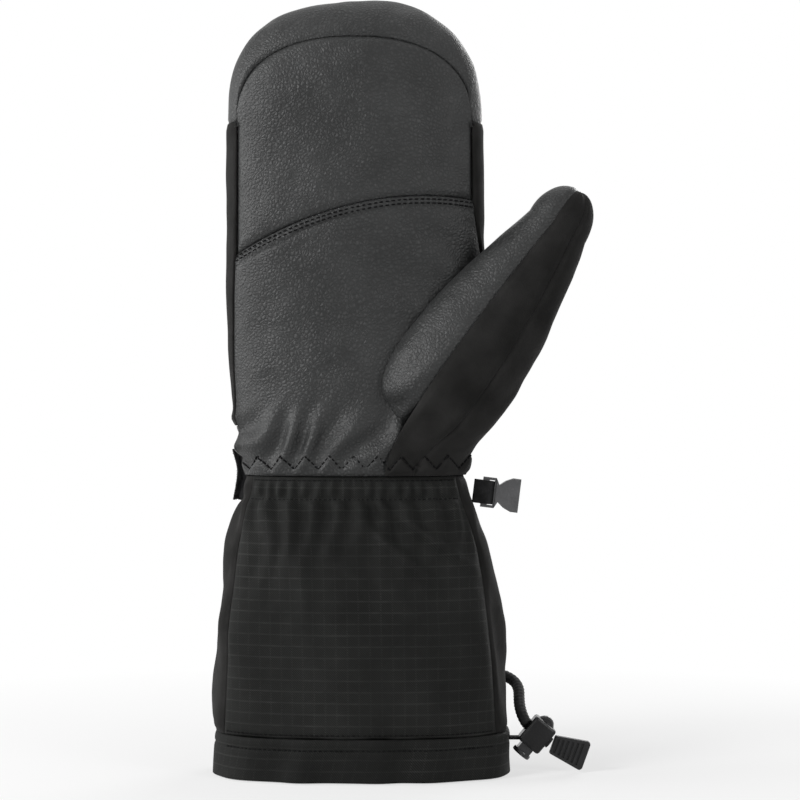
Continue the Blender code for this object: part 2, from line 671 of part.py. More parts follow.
def make_strap(parts, looks):
    """Wrist strap on the back: sewn at the thumb side, its hook tape pressed on the loop patch at the far side."""
    low = WRIST_HEIGHT - STRAP_WIDTH / 2
    rows = rows_between(low, low + STRAP_WIDTH)
    loop_out = SEAM_GAP + TAPE_THICKNESS
    hook_out = loop_out + SEAM_GAP + TAPE_THICKNESS
    strap_in = hook_out + SEAM_GAP

    def strap_under(angle):
        climb = min((angle - STRAP_SEWN_ANGLE) / (LOOP_START_ANGLE - STRAP_SEWN_ANGLE - COLUMN), 1.0)
        return -SEAM_GAP - (strap_in - SEAM_GAP) * climb

    back = (0.0, SEAM_GAP / 2, 0.0)
    add_patch("loop_patch", hand_point, columns_between(LOOP_START_ANGLE, STRAP_END_ANGLE), lambda angle: rows,
              -loop_out, -SEAM_GAP, looks["loop"], parts, back)
    hook_rows = [rows[0] + 1.0] + rows[1:-1] + [rows[-1] - 1.0]
    hook = add_patch("hook_tape", hand_point, columns_between(HOOK_START_ANGLE, STRAP_END_ANGLE - COLUMN),
                     lambda angle: hook_rows, -hook_out, -loop_out - SEAM_GAP, looks["hook"], parts, back)
    strap = add_patch("wrist_strap", hand_point, columns_between(STRAP_SEWN_ANGLE, STRAP_END_ANGLE),
                      lambda angle: rows, lambda angle: strap_under(angle) - STRAP_THICKNESS, strap_under,
                      looks["webbing"], parts, back)
    # The strap turns about the outermost point of its sewn edge, so that it lifts clear of the flared cuff
    edge = [hand_point(STRAP_SEWN_ANGLE, rise, -SEAM_GAP) for rise in rows]
    hinge = Vector((max(point.x for point in edge), max(point.y for point in edge), WRIST_HEIGHT)) + Vector(back)
    return hinge, [strap, hook]


def make_clip(parts, cutters, looks):
    """Webbing loop at the thumb side of the wrist, and the buckle that swings on it."""
    wall = hand_point(0.0, CLIP_HEIGHT - WEB_WIDTH / 2, 0.0).x + SEAM_GAP
    bar = Vector((wall + WEB_REACH, 0.0, CLIP_HEIGHT))
    pivot = new_empty("clip_pivot", bar, parts)
    pivot.rotation_euler = (0.0, math.radians(CLIP_TILT), 0.0)
    inner = math.hypot(BAR_HALF, FRAME_THICKNESS / 2) + CLIP_CLEARANCE / 2
    outer = inner + WEB_THICKNESS
    turns = [math.radians(-90.0 + 15.0 * step) for step in range(13)]
    lead = bar.x - wall
    webbing = ([(-lead, -outer)] + [(outer * math.cos(turn), outer * math.sin(turn)) for turn in turns]
               + [(-lead, outer), (-lead, inner)]
               + [(inner * math.cos(turn), inner * math.sin(turn)) for turn in turns[::-1]] + [(-lead, -inner)])
    loop = add_outline("clip_webbing", webbing, WEB_WIDTH, looks["webbing"], parts)
    loop.location = bar * MM
    loop.rotation_euler = pivot.rotation_euler

    slot_end = outer + CLIP_CLEARANCE
    frame_end = slot_end + 1.4
    flare = (BUCKLE_LENGTH - frame_end) / 3
    side = [(-BAR_HALF, FRAME_HALF_WIDTH), (frame_end - 0.8, FRAME_HALF_WIDTH), (frame_end + 0.6, BUCKLE_WAIST_HALF),
            (frame_end + flare, BUCKLE_MOUTH_HALF - 1.4), (frame_end + 2 * flare, BUCKLE_MOUTH_HALF),
            (BUCKLE_LENGTH, BUCKLE_MOUTH_HALF)]
    outline = side + [(x, -z) for x, z in side[::-1]]
    buckle = add_outline("clip_buckle", outline, BUCKLE_THICKNESS, looks["plastic"], parts)
    buckle.parent = pivot
    buckle.rotation_euler = (math.pi / 2, 0.0, 0.0)

    def hollows(bm):
        thin = FRAME_THICKNESS / 2
        far = BUCKLE_THICKNESS
        room = WEB_WIDTH / 2 + CLIP_CLEARANCE
        for face in (-1, 1):
            low, high = sorted((face * thin, face * far))
            box(bm, (-far, -far * 2, low), (frame_end - 0.6, far * 2, high))
        box(bm, (BUCKLE_LENGTH - SOCKET_DEPTH, -SOCKET_HALF_WIDTH, -SOCKET_HEIGHT / 2),
            (BUCKLE_LENGTH + far, SOCKET_HALF_WIDTH, SOCKET_HEIGHT / 2))
        for side_sign in (-1, 1):
            low, high = sorted((side_sign * (SOCKET_HALF_WIDTH - 1.0), side_sign * far * 2))
            box(bm, (BUCKLE_LENGTH - SOCKET_DEPTH + 1.2, low, -SOCKET_HEIGHT / 2 + 0.2),
                (BUCKLE_LENGTH - 2.2, high, SOCKET_HEIGHT / 2 - 0.2))
        box(bm, (BAR_HALF, -room, -far * 3), (slot_end, room, far * 3))

    opening = add_cutter(add_mesh("buckle_hollows", hollows, None, cutters))
    opening.parent = pivot
    opening.rotation_euler = buckle.rotation_euler
    cut(buckle, opening, crossing=True)
    return bar


def new_empty(name, location, collection):
    empty = bpy.data.objects.new(name, None)
    empty.location = Vector(location) * MM
    collection.objects.link(empty)
    return empty


def make_cord_lock(parts, cutters, looks):
    """Sprung cord lock by the hem, with its cord, anchor and ribbed pull tab."""
    frame = new_empty("lock_frame", LOCK_CENTRE, parts)
    frame.rotation_euler = (0.0, math.radians(-LOCK_LEAN), 0.0)
    half = Vector((LOCK_LENGTH, LOCK_WIDTH, LOCK_HEIGHT)) / 2
    bore_end = STEM_END + SPRING_ROOM

    def block(bm):
        box(bm, -half, half)

    def dome(bm):
        made = bmesh.ops.create_uvsphere(bm, u_segments=20, v_segments=10, radius=1.0)["verts"]
        bmesh.ops.scale(bm, vec=(LOCK_DOME_RISE * 2, LOCK_DOME_RADIUS, LOCK_DOME_RADIUS), verts=made)
        bmesh.ops.translate(bm, vec=(half.x - LOCK_DOME_RISE, 0, 0), verts=made)

    def hollows(bm):
        room = Vector((0.0, STEM_WIDTH / 2 + STEM_CLEARANCE, STEM_HEIGHT / 2 + STEM_CLEARANCE))
        box(bm, (-half.x * 2, -room.y, -room.z), (bore_end, room.y, room.z))

    def cord_hole(bm):
        cylinder(bm, CORD_HOLE_RADIUS, (CORD_HOLE_X, 0, -LOCK_HEIGHT), (CORD_HOLE_X, 0, LOCK_HEIGHT), 2)

    body = add_mesh("cord_lock_body", block, looks["plastic"], parts)
    dome_cutter = add_cutter(add_mesh("lock_dome", dome, None, cutters))
    bore = add_cutter(add_mesh("lock_bore", hollows, None, cutters))
    hole = add_cutter(add_mesh("lock_cord_hole", cord_hole, None, cutters))
    bevel(body, 1.2)
    cut(body, dome_cutter, "UNION")
    cut(body, bore)
    cut(body, hole)

    button_face = -half.x - LOCK_TRAVEL - SEAM_GAP

    def stem(bm):
        box(bm, (button_face - 0.5, -STEM_WIDTH / 2, -STEM_HEIGHT / 2), (STEM_END, STEM_WIDTH / 2, STEM_HEIGHT / 2))

    def button(bm):
        cylinder(bm, BUTTON_RADIUS, (button_face - BUTTON_THICKNESS, 0, 0), (button_face, 0, 0), 0, 24)

    def stem_hole(bm):
        middle = CORD_HOLE_X - LOCK_TRAVEL
        cylinder(bm, CORD_HOLE_RADIUS, (middle, 0, -STEM_HEIGHT), (middle, 0, STEM_HEIGHT), 2)

    plunger = add_mesh("cord_lock_plunger", stem, looks["grey_plastic"], parts)
    head = add_cutter(add_mesh("plunger_button", button, None, cutters))
    bevel(head, 0.6)
    pierced = add_cutter(add_mesh("plunger_cord_hole", stem_hole, None, cutters))
    cut(plunger, head, "UNION")
    cut(plunger, pierced)

    room = SPRING_ROOM - 2 * SEAM_GAP - SPRING_WIRE
    count = SPRING_TURNS * 9
    coil = []
    for step in range(count + 1):
        turn = math.tau * SPRING_TURNS * step / count
        along = STEM_END + SEAM_GAP + SPRING_WIRE / 2 + room * step / count
        coil.append((along, SPRING_RADIUS * math.cos(turn), SPRING_RADIUS * math.sin(turn)))
    print("least gap between spring turns", round(room / SPRING_TURNS - SPRING_WIRE, 2), "mm")
    spring = add_tube("cord_lock_spring", coil, SPRING_WIRE / 2, looks["steel"], parts, resolution=1)

    tail_top = -(STEM_HEIGHT / 2 + STEM_CLEARANCE)

    def tail(bm):
        cylinder(bm, CORD_DIAMETER / 2, (CORD_HOLE_X, 0, tail_top - TAIL_LENGTH), (CORD_HOLE_X, 0, tail_top), 2, 14)

    cord_tail = add_mesh("cord_tail", tail, looks["cord"], parts)
    for obj in (body, dome_cutter, bore, hole, plunger, head, pierced, spring, cord_tail):
        obj.parent = frame
    lean = math.radians(LOCK_LEAN)

    def placed(x, z):
        """Place of a point of the lock's middle plane."""
        across = x * math.cos(lean) - z * math.sin(lean)
        up = x * math.sin(lean) + z * math.cos(lean)
        return Vector(LOCK_CENTRE) + Vector((across, 0.0, up))

    make_drawcord(parts, looks, placed(CORD_HOLE_X, half.z + SEAM_GAP))
    make_anchor(parts, looks, placed(-half.x, half.z))
    make_pull_tab(parts, cutters, looks, placed(CORD_HOLE_X, tail_top - TAIL_LENGTH))
    return frame


def make_drawcord(parts, looks, end):
    outward = outward_at(EYELET_ANGLE, CINCH_HEIGHT)
    start = hand_point(EYELET_ANGLE, CINCH_HEIGHT, 0.0) + outward * -SHELL
    add_tube("drawcord", [start] + [Vector(point) for point in CORD_ROUTE] + [end], CORD_DIAMETER / 2,
             looks["cord"], parts)


def make_anchor(parts, looks, corner):
    """Short ribbon from the hem to the lock's near corner."""
    wall = hand_point(-8.0, corner.z, -HEM_PROUD).x + SEAM_GAP

    def ribbon(bm):
        box(bm, (wall, corner.y - ANCHOR_WIDTH / 2, corner.z - ANCHOR_THICKNESS / 2),
            (corner.x - SEAM_GAP, corner.y + ANCHOR_WIDTH / 2, corner.z + ANCHOR_THICKNESS / 2))

    add_mesh("lock_anchor_loop", ribbon, looks["webbing"], parts)


def make_pull_tab(parts, cutters, looks, start):
    """Ribbed tab on the end of the cord."""
    lean = math.radians(TAB_LEAN)
    bend = math.radians(90.0 - LOCK_LEAN - TAB_LEAN)
    clear = CORD_DIAMETER / 2 * math.sin(bend) + SEAM_GAP
    centre = start + Vector((math.cos(lean), 0.0, -math.sin(lean))) * clear
    outline = ((0.0, -TAB_NARROW_HALF), (TAB_LENGTH - 1.0, -TAB_WIDE_HALF), (TAB_LENGTH, -TAB_WIDE_HALF + 1.0),
               (TAB_LENGTH, TAB_WIDE_HALF - 1.0), (TAB_LENGTH - 1.0, TAB_WIDE_HALF), (0.0, TAB_NARROW_HALF))
    tab = add_outline("pull_tab", outline, TAB_THICKNESS, looks["rubber"], parts)
    bevel(tab, 0.5)

    def grooves(bm):
        for face in (-1, 1):
            for rib in range(TAB_RIBS + 1):
                middle = 1.8 + rib * TAB_RIB_PITCH
                reach = TAB_NARROW_HALF - 1.2 + (TAB_WIDE_HALF - TAB_NARROW_HALF) * middle / TAB_LENGTH
                low, high = sorted((face * (TAB_THICKNESS / 2 - TAB_GROOVE), face * TAB_THICKNESS))
                box(bm, (middle - 0.55, -reach, low), (middle + 0.55, reach, high))

    cutter = add_cutter(add_mesh("tab_grooves", grooves, None, cutters))
    cut(tab, cutter)
    for obj in (tab, cutter):
        obj.location = centre * MM
        obj.rotation_euler = (math.pi / 2, math.radians(TAB_LEAN), 0.0)


def make_looks():
    black = (0.012, 0.012, 0.013)
    return {
        "leather": material("leather", (0.045, 0.045, 0.048), 0.5),
        "softshell": material("softshell", (0.014, 0.014, 0.015), 0.8),
        "twill": material("ripstop twill", (0.026, 0.026, 0.028), 0.7),
        "hem": material("hem twill", (0.022, 0.022, 0.024), 0.7),
        "fill": material("polyester fill", (0.75, 0.75, 0.74), 0.95),
        "membrane": material("membrane", (0.6, 0.62, 0.65), 0.5),
        "lining": material("fleece lining", (0.02, 0.02, 0.022), 0.95),
        "elastic": material("elastic", (0.3, 0.3, 0.3), 0.8),
        "cord": material("braided cord", black, 0.75),
        "metal": material("black eyelet", (0.03, 0.03, 0.03), 0.4, 1.0),
        "steel": material("spring steel", (0.6, 0.6, 0.6), 0.3, 1.0),
        "plastic": material("black plastic", (0.03, 0.03, 0.032), 0.4),
        "grey_plastic": material("grey plastic", (0.1, 0.1, 0.105), 0.3),
        "rubber": material("rubber tab", (0.02, 0.02, 0.021), 0.6),
        "webbing": material("webbing", (0.012, 0.012, 0.012), 0.85),
        "loop": material("loop tape", (0.016, 0.016, 0.017), 0.95),
        "hook": material("hook tape", (0.015, 0.015, 0.015), 0.7),
    }


def world_box(objects):
    graph = bpy.context.evaluated_depsgraph_get()
    corners = []
    for obj in objects:
        evaluated = obj.evaluated_get(graph)
        corners += [evaluated.matrix_world @ vertex.co for vertex in evaluated.to_mesh().vertices]
        evaluated.to_mesh_clear()
    low = Vector([min(corner[axis] for corner in corners) for axis in range(3)])
    high = Vector([max(corner[axis] for corner in corners) for axis in range(3)])
    return low, high


CORD_PIECES = ("drawcord", "cord_tail", "pull_tab")


def main():
    clear_scene()
    parts = new_collection("ski_mitten")
    cutters = new_collection("cutters")
    looks = make_looks()
    hand_pieces = make_shell(parts, looks) + make_fill(parts, looks)
    make_thumb(parts, cutters, looks, hand_pieces)
    make_cuff(parts, cutters, looks)
    strap_hinge, strap_pieces = make_strap(parts, looks)
    clip_bar = make_clip(parts, cutters, looks)
    lock = make_cord_lock(parts, cutters, looks)

    strap_pivot = new_empty("strap_pivot", strap_hinge, parts)
    for piece in strap_pieces:
        piece.parent = strap_pivot
        piece.location = -strap_hinge * MM
    bpy.context.view_layer.update()
    low, high = world_box([obj for obj in parts.objects if obj.type != "EMPTY" and obj.name not in CORD_PIECES])
    root = new_empty("mitten_root", (0.0, 0.0, 0.0), parts)
    root.location = (-(low.x + high.x) / 2, -(low.y + high.y) / 2, 0.0)
    for obj in list(parts.objects) + list(cutters.objects):
        if obj.parent is None and obj is not root:
            obj.parent = root
    bpy.context.view_layer.update()
    print("size in mm", [round(value / MM, 1) for value in high - low], "shift", list(root.location))
    for name, place in (("strap hinge", strap_hinge), ("clip bar", clip_bar), ("lock centre", Vector(LOCK_CENTRE))):
        print(name, [round(value, 5) for value in place * MM + root.location])
    print("lock axis", [round(value, 4) for value in lock.matrix_world.to_3x3() @ Vector((1.0, 0.0, 0.0))])


main()
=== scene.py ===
import functools
import math
import random

import bmesh
import bpy
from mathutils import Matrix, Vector, noise


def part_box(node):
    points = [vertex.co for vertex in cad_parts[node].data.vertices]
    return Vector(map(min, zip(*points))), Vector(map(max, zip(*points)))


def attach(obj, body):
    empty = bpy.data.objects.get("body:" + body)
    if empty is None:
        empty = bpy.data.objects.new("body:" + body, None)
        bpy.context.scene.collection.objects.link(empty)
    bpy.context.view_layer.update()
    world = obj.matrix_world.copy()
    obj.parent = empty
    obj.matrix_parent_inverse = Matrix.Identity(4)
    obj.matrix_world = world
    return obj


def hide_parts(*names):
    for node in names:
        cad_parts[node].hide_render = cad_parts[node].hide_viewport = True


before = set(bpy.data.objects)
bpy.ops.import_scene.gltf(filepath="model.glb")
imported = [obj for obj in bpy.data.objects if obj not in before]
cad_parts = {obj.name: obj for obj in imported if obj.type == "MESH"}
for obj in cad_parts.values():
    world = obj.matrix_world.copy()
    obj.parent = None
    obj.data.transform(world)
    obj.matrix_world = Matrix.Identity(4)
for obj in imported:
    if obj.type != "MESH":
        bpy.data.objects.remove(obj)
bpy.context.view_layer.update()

# Sizes in millimetres and angles in degrees, as in part.py, measured from the middle of the hand
MM = 0.001
HEM_HALF_WIDTH, HEM_DEPTH, HEM_OFFSET = 63.9, 37.0, 2.8
WRIST_HEIGHT, WRIST_HALF_WIDTH, WRIST_DEPTH = 127.0, 47.3, 28.5
PALM_HALF_WIDTH, PALM_DEPTH, BACK_DEPTH = 54.5, 23.5, 27.0
PALM_LENGTH, TIP_RISE = 148.0, 55.0
TIP_START = WRIST_HEIGHT + PALM_LENGTH
POLE = 90.0
SECTION_POWER, TIP_POWER = 2.5, 2.6
CUFF_FLARE = ((0.0, 1.0), (0.47, 0.78), (0.75, 0.5))
PALM_SWELL = ((0.1, 0.42), (0.36, 0.86), (0.62, 1.0), (1.0, 1.0))
SHELL, SEAM_GAP = 1.2, 0.3
LINING_OUTER, CAVITY, CUFF_CAVITY, LINING_JOIN = 7.4, 9.2, 8.6, 14.0
GUSSET_ANGLE = 360.0 / 14.0
PALM_LEFT, PALM_RIGHT = 180.0 + GUSSET_ANGLE, 360.0 - GUSSET_ANGLE
PALM_SEAM_LEFT, PALM_SEAM_PEAK, PALM_SEAM_PEAK_X = 218.0, 245.0, 32.0
TIP_SEAM_ANGLE, TIP_SEAM_HALF_WIDTH, TIP_SEAM_POWER = 38.0, 50.0, 2.4
PINKY_GUSSET_BOTTOM, INDEX_GUSSET_BOTTOM = 148.0, 220.0
HEM_HEIGHT, CINCH_HEIGHT, EYELET_ANGLE = 18.0, 39.0, 30.0
CORD_DIAMETER = 5.0
LOCK_CENTRE, LOCK_LEAN, LOCK_HEIGHT, CORD_HOLE_X = (78.0, -4.0, 15.9), 50.0, 11.0, 0.5

# Thumb: its sizes, its seams, and its sections at the sunk end, the belly, the taper and the tip
THUMB_ROOT, THUMB_LEAN = (35.0, -19.5, 160.0), 31.3
THUMB_BASE_WIDTH, THUMB_MIDDLE_WIDTH, THUMB_END_WIDTH = 26.0, 25.0, 13.3
THUMB_BASE_DEPTH, THUMB_END_DEPTH = 19.0, 12.5
THUMB_LENGTH, THUMB_TIP_RISE, THUMB_SINK, THUMB_POWER = 88.0, 18.5, 22.0, 2.3
THUMB_FRONT_SEAM, THUMB_PALM_SEAM, THUMB_BACK_SEAM = 60.0, 100.0, 260.0
BELLY_PLACE, TAPER_PLACE = THUMB_LENGTH * 0.41, THUMB_LENGTH * 0.79
SUNK_WIDTH, SUNK_DEPTH = THUMB_BASE_WIDTH * 0.77, THUMB_BASE_DEPTH * 0.79
TAPER_WIDTH = (THUMB_MIDDLE_WIDTH + THUMB_END_WIDTH) * 0.48
SUNK_ASIDE, BELLY_ASIDE, END_ASIDE = -1.0, 2.4, 6.0
SUNK_BEHIND, END_BEHIND = 13.5, 4.0

# Cloth below the thumb: where round the wrist its columns end, its edge on the palm, its height and its lift
GORE_PALM_ANGLE, GORE_MIDDLE_ANGLE, GORE_SIDE_ANGLE = 281.2, 296.8, 345.0
GORE_BEHIND_ANGLE, GORE_BACK_ANGLE = 359.0, 362.0
GORE_EDGE, GORE_HEIGHT, GORE_LIFT = 12.0, 40.0, 0.9
BEHIND_COLUMN, SIDE_COLUMN, BACK_COLUMN = -60.0, -20.0, THUMB_BACK_SEAM - 360.0
DRAPE_REACH, BEHIND_REACH, BACK_REACH = 12.0, 0.6, 0.4

# How far a fold may press into the filling, and how a panel is held and rolled in along its sewn edges
EASY_INWARD, MOST_INWARD = 0.4, 0.95
SEWN_HOLD, SEWN_REACH = 0.7, 3.0
SEAM_ROLL, ROLL_WIDTH = 0.9, 1.5
FAR = 99.0
GUSSET_OVERLAP, GUSSET_LIFT, THUMB_TUCK = 0.8, 0.7, 0.4
MERGE_DISTANCE = 0.002

# Wrist and palm seam: the zigzag, the doubled edge below it, the gather lines, and the doubled strip
ZIGZAG_PITCH, ZIGZAG_LOW, ZIGZAG_HIGH = 9.9, 2.8, 8.4
FLAP_HEIGHT, FLAP_STEP, ZIGZAG_SINK, ZIGZAG_GROOVE = 1.5, 0.3, 0.8, 0.9
GATHER_DROP, GATHER_SINK, GATHER_GROOVE = 9.6, 0.9, 1.2
WRIST_LINE_DROP, WRIST_LINE_SHARE, WRIST_LINE_GROOVE = 1.5, 0.8, 1.1
SEAM_STRIP, STRIP_HEIGHT, STRIP_STEP = 3.9, 0.7, 1.3
PALM_STITCH_ROWS, STITCH_SINK, STITCH_GROOVE = (1.3, 3.0), 0.35, 0.5
HEM_STITCH_HEIGHT, HEM_STITCH_SINK = 13.3, 0.5

# Folds: pitches, heights and reaches
PALM_PLEAT_PITCH, PALM_PLEAT_LEAN, PALM_PLEAT_HEIGHT = 13.5, 0.55, 2.1
PALM_PLEAT_RISE, PALM_PLEAT_REACH = 16.0, 9.5
CROTCH_X, CROTCH_Z, CROTCH_REACH = 40.0, 205.0, 24.0
CROTCH_FOLD_PITCH, CROTCH_FOLD_HEIGHT = 21.0, 0.8
BACK_PLEAT_PITCH, BACK_PLEAT_HEIGHT, BACK_PLEAT_REACH = 9.0, 1.2, 12.0
PUCKER_PITCH, PUCKER_HEIGHT, PUCKER_DROP, PUCKER_REACH = 5.3, 1.0, 5.5, 4.5
FAN_PITCH, FAN_HEIGHT, FAN_LIFT, FAN_LENGTH = 9.6, 2.5, 1.0, 13.0
FAN_START, FAN_RAMP = 2.0, 5.0
SLACK_START, SLACK_LIFT, SWEEP_SIZE, SWEEP_HEIGHT = 24.0, 0.7, 17.0, 3.4
HEM_WAVE_PITCH, HEM_WAVE_HEIGHT = 27.0, 0.8
THUMB_FOLD_PITCH, THUMB_FOLD_HEIGHT, THUMB_FOLD_Z, THUMB_FOLD_REACH = 17.0, 0.55, 150.0, 26.0
# Slack folds of the gauntlet: X and drop below the wrist, lean to the thumb side, width, reach and height
SLACK_FOLDS = (
    (18.0, 32.0, 1.1, 4.5, 14.0, 4.0),
    (31.0, 26.0, 1.3, 4.0, 11.0, 3.4),
    (2.0, 44.0, 0.9, 5.0, 17.0, 3.0),
    (-24.0, 34.0, 0.2, 4.5, 15.0, 2.2),
    (24.0, 58.0, 1.0, 6.0, 15.0, 2.4),
)

# Strap, clip and cord; the drawcord's route is rounder at the eyelet than the CAD tube that it stands for
STRAP_WIDTH, STRAP_THICKNESS, STRAP_CLIMB = 21.5, 1.0, 2.4
PATCH_LIFT, PATCH_THICKNESS = 1.2, 3.0
CLIP_BAR, CLIP_ROOM, CLIP_TILT = (55.91, 0.0, 119.5), 24.0, 7.0
WEB_WIDTH, WEB_INNER, WEB_OUTER, WEB_LEAD = 10.0, 2.25, 3.85, 5.0
ANCHOR_OVERLAP = 1.6
THREAD_END = 0.35
FUZZ_COUNT, FUZZ_RADIUS = 1400, 0.09
BRAID_DEPTH, BRAID_STRANDS, BRAID_TWIST = 0.16, 4, 1.6
CORD_ROUTE = (
    (60.2, 21.3, 38.9), (64.1, 21.4, 38.2), (67.6, 19.6, 36.9),
    (70.0, 16.4, 35.1), (71.0, 12.5, 32.8), (71.0, 8.5, 30.3),
    (71.0, 4.6, 27.6), (71.5, 1.0, 24.9), (72.5, -1.9, 22.3),
)

# Ripstop's grid, its dashed threads and its twill, in millimetres
RIPSTOP_GRID, DASH_PITCH, TWILL_PITCH = 4.7, 1.1, 0.95
THREAD_SHARPNESS = 40.0

# Camera, placed by the photograph: the hand's column, and millimetres for each pixel at the wrist
PHOTO_SIZE = 800
PHOTO_HAND_COLUMN = 355
PHOTO_SCALE = 0.43
CAMERA_HEIGHT = 159.0
CAMERA_DISTANCE = 1000.0
SENSOR_WIDTH = 36.0

# Stage, in metres: near the mitten the floor keeps the shadow, and farther out it turns plain white
FLOOR_SIZE, FLOOR_DROP = 3.0, 0.0005
SHADOW_REACH, SHADOW_GLOW = (0.1, 0.4), 0.62
WHITE = (1.0, 1.0, 1.0, 1.0)
FLOOR_GREY = (0.9, 0.9, 0.9, 1.0)
SKY_STRENGTH = 0.14
# Lamps: name, place, target, size and watts
LAMPS = (
    ("key", (-0.95, -0.75, 0.75), (0.0, 0.0, 0.18), 0.5, 11.0),
    ("side", (-0.9, -0.05, 0.35), (0.0, 0.0, 0.18), 0.5, 3.9),
    ("fill", (0.9, -0.8, 0.5), (0.0, 0.0, 0.15), 0.5, 3.4),
    ("top", (0.1, 0.1, 1.1), (0.0, 0.0, 0.2), 0.6, 1.1),
    ("behind", (0.6, 1.1, 0.6), (0.0, 0.0, 0.17), 0.8, 7.0),
)

# The hand's middle in the shared frame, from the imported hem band
hem_low, hem_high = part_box("hem_band")
HAND = Vector(((hem_low[0] + hem_high[0]) / 2 / MM - HEM_OFFSET, (hem_low[1] + hem_high[1]) / 2 / MM, 0.0))


def smooth_value(stations, place):
    """Value at place on a smooth curve through (place, value) stations."""
    last = len(stations) - 1
    index = 0
    while index < last - 1 and place > stations[index + 1][0]:
        index += 1

    def slope(at):
        low = stations[max(at - 1, 0)]
        high = stations[min(at + 1, last)]
        return (high[1] - low[1]) / (high[0] - low[0])

    start, end = stations[index], stations[index + 1]
    width = end[0] - start[0]
    t = min(max((place - start[0]) / width, 0.0), 1.0)
    rise = (2 * t**3 - 3 * t**2 + 1) * start[1] + (3 * t**2 - 2 * t**3) * end[1]
    return rise + width * ((t**3 - 2 * t**2 + t) * slope(index) + (t**3 - t**2) * slope(index + 1))


@functools.lru_cache(maxsize=None)
def section_size(hem, wrist, palm, height):
    """A size of the cross-section at this height, from its sizes at the hem, the wrist and the palm."""
    cuff = [(WRIST_HEIGHT * share, wrist + (hem - wrist) * flare) for share, flare in CUFF_FLARE]
    hand = [(WRIST_HEIGHT + PALM_LENGTH * share, wrist + (palm - wrist) * swell)
            for share, swell in PALM_SWELL]
    return smooth_value(cuff + [(WRIST_HEIGHT, wrist)] + hand, height)


def signed_power(value, power):
    return math.copysign(abs(value) ** power, value)


def hand_sizes(height):
    return (section_size(HEM_HALF_WIDTH, WRIST_HALF_WIDTH, PALM_HALF_WIDTH, height),
            section_size(HEM_DEPTH, WRIST_DEPTH, PALM_DEPTH, height),
            section_size(HEM_DEPTH, WRIST_DEPTH, BACK_DEPTH, height),
            section_size(HEM_OFFSET, 0.0, 0.0, height))


def hand_point(angle, rise, inset=0.0):
    """Point of the hand's surface. Rise is a height up to TIP_START, and then adds degrees of latitude."""
    height = min(rise, TIP_START)
    half_width, front, back, centre = hand_sizes(height)
    shrink = 1.0
    if rise > TIP_START:
        latitude = math.radians(rise - TIP_START)
        shrink = abs(math.cos(latitude)) ** (2 / TIP_POWER)
        height = TIP_START + (TIP_RISE - inset) * math.sin(latitude) ** (2 / TIP_POWER)
    turn = math.radians(angle)
    across = signed_power(math.cos(turn), 2 / SECTION_POWER)
    through = signed_power(math.sin(turn), 2 / SECTION_POWER)
    depth = (front if through < 0 else back) - inset
    return Vector((centre + (half_width - inset) * shrink * across, depth * shrink * through, height))


def inside_hand(point):
    half_width, front, back, centre = hand_sizes(min(max(point.z, 0.0), TIP_START))
    depth = front if point.y < 0 else back
    reach = abs((point.x - centre) / half_width) ** SECTION_POWER + abs(point.y / depth) ** SECTION_POWER
    return reach < 1.0


def thumb_point(angle, along):
    """Point of the thumb's surface. Angle 0 faces out and down, 90 the palm side and 180 the fingers."""
    place = min(along, THUMB_LENGTH)
    lean = math.radians(THUMB_LEAN)
    axis = Vector((math.sin(lean), 0.0, math.cos(lean)))
    outward = Vector((math.cos(lean), 0.0, -math.sin(lean)))
    sunk, root, end = -THUMB_SINK, 0.0, THUMB_LENGTH
    width = smooth_value(((sunk, SUNK_WIDTH), (root, THUMB_BASE_WIDTH), (BELLY_PLACE, THUMB_MIDDLE_WIDTH),
                          (TAPER_PLACE, TAPER_WIDTH), (end, THUMB_END_WIDTH)), place)
    depth = smooth_value(((sunk, SUNK_DEPTH), (root, THUMB_BASE_DEPTH), (end, THUMB_END_DEPTH)), place)
    aside = smooth_value(((sunk, SUNK_ASIDE), (root, 0.0), (BELLY_PLACE, BELLY_ASIDE),
                          (end, END_ASIDE)), place)
    behind = smooth_value(((sunk, SUNK_BEHIND), (root, 0.0), (end, END_BEHIND)), place)
    shrink = 1.0
    if along > THUMB_LENGTH:
        latitude = math.radians(along - THUMB_LENGTH)
        shrink = abs(math.cos(latitude)) ** (2 / THUMB_POWER)
        place = THUMB_LENGTH + THUMB_TIP_RISE * math.sin(latitude) ** (2 / THUMB_POWER)
    turn = math.radians(angle)
    across = aside + width * shrink * signed_power(math.cos(turn), 2 / THUMB_POWER)
    through = behind - depth * shrink * signed_power(math.sin(turn), 2 / THUMB_POWER)
    return Vector(THUMB_ROOT) + axis * place + outward * across + Vector((0.0, through, 0.0))


def span(start, end, count):
    return [start + (end - start) * step / count for step in range(count + 1)]


def palm_x(angle):
    return PALM_HALF_WIDTH * signed_power(math.cos(math.radians(angle)), 2 / SECTION_POWER)


def palm_seam_at(x):
    """Height of the palm seam, an arc that peaks on the thumb side."""
    reach = (PALM_SEAM_PEAK_X - x) / (PALM_SEAM_PEAK_X + PALM_HALF_WIDTH)
    return PALM_SEAM_PEAK - (PALM_SEAM_PEAK - PALM_SEAM_LEFT) * reach**2


def palm_seam(angle):
    return palm_seam_at(palm_x(angle))


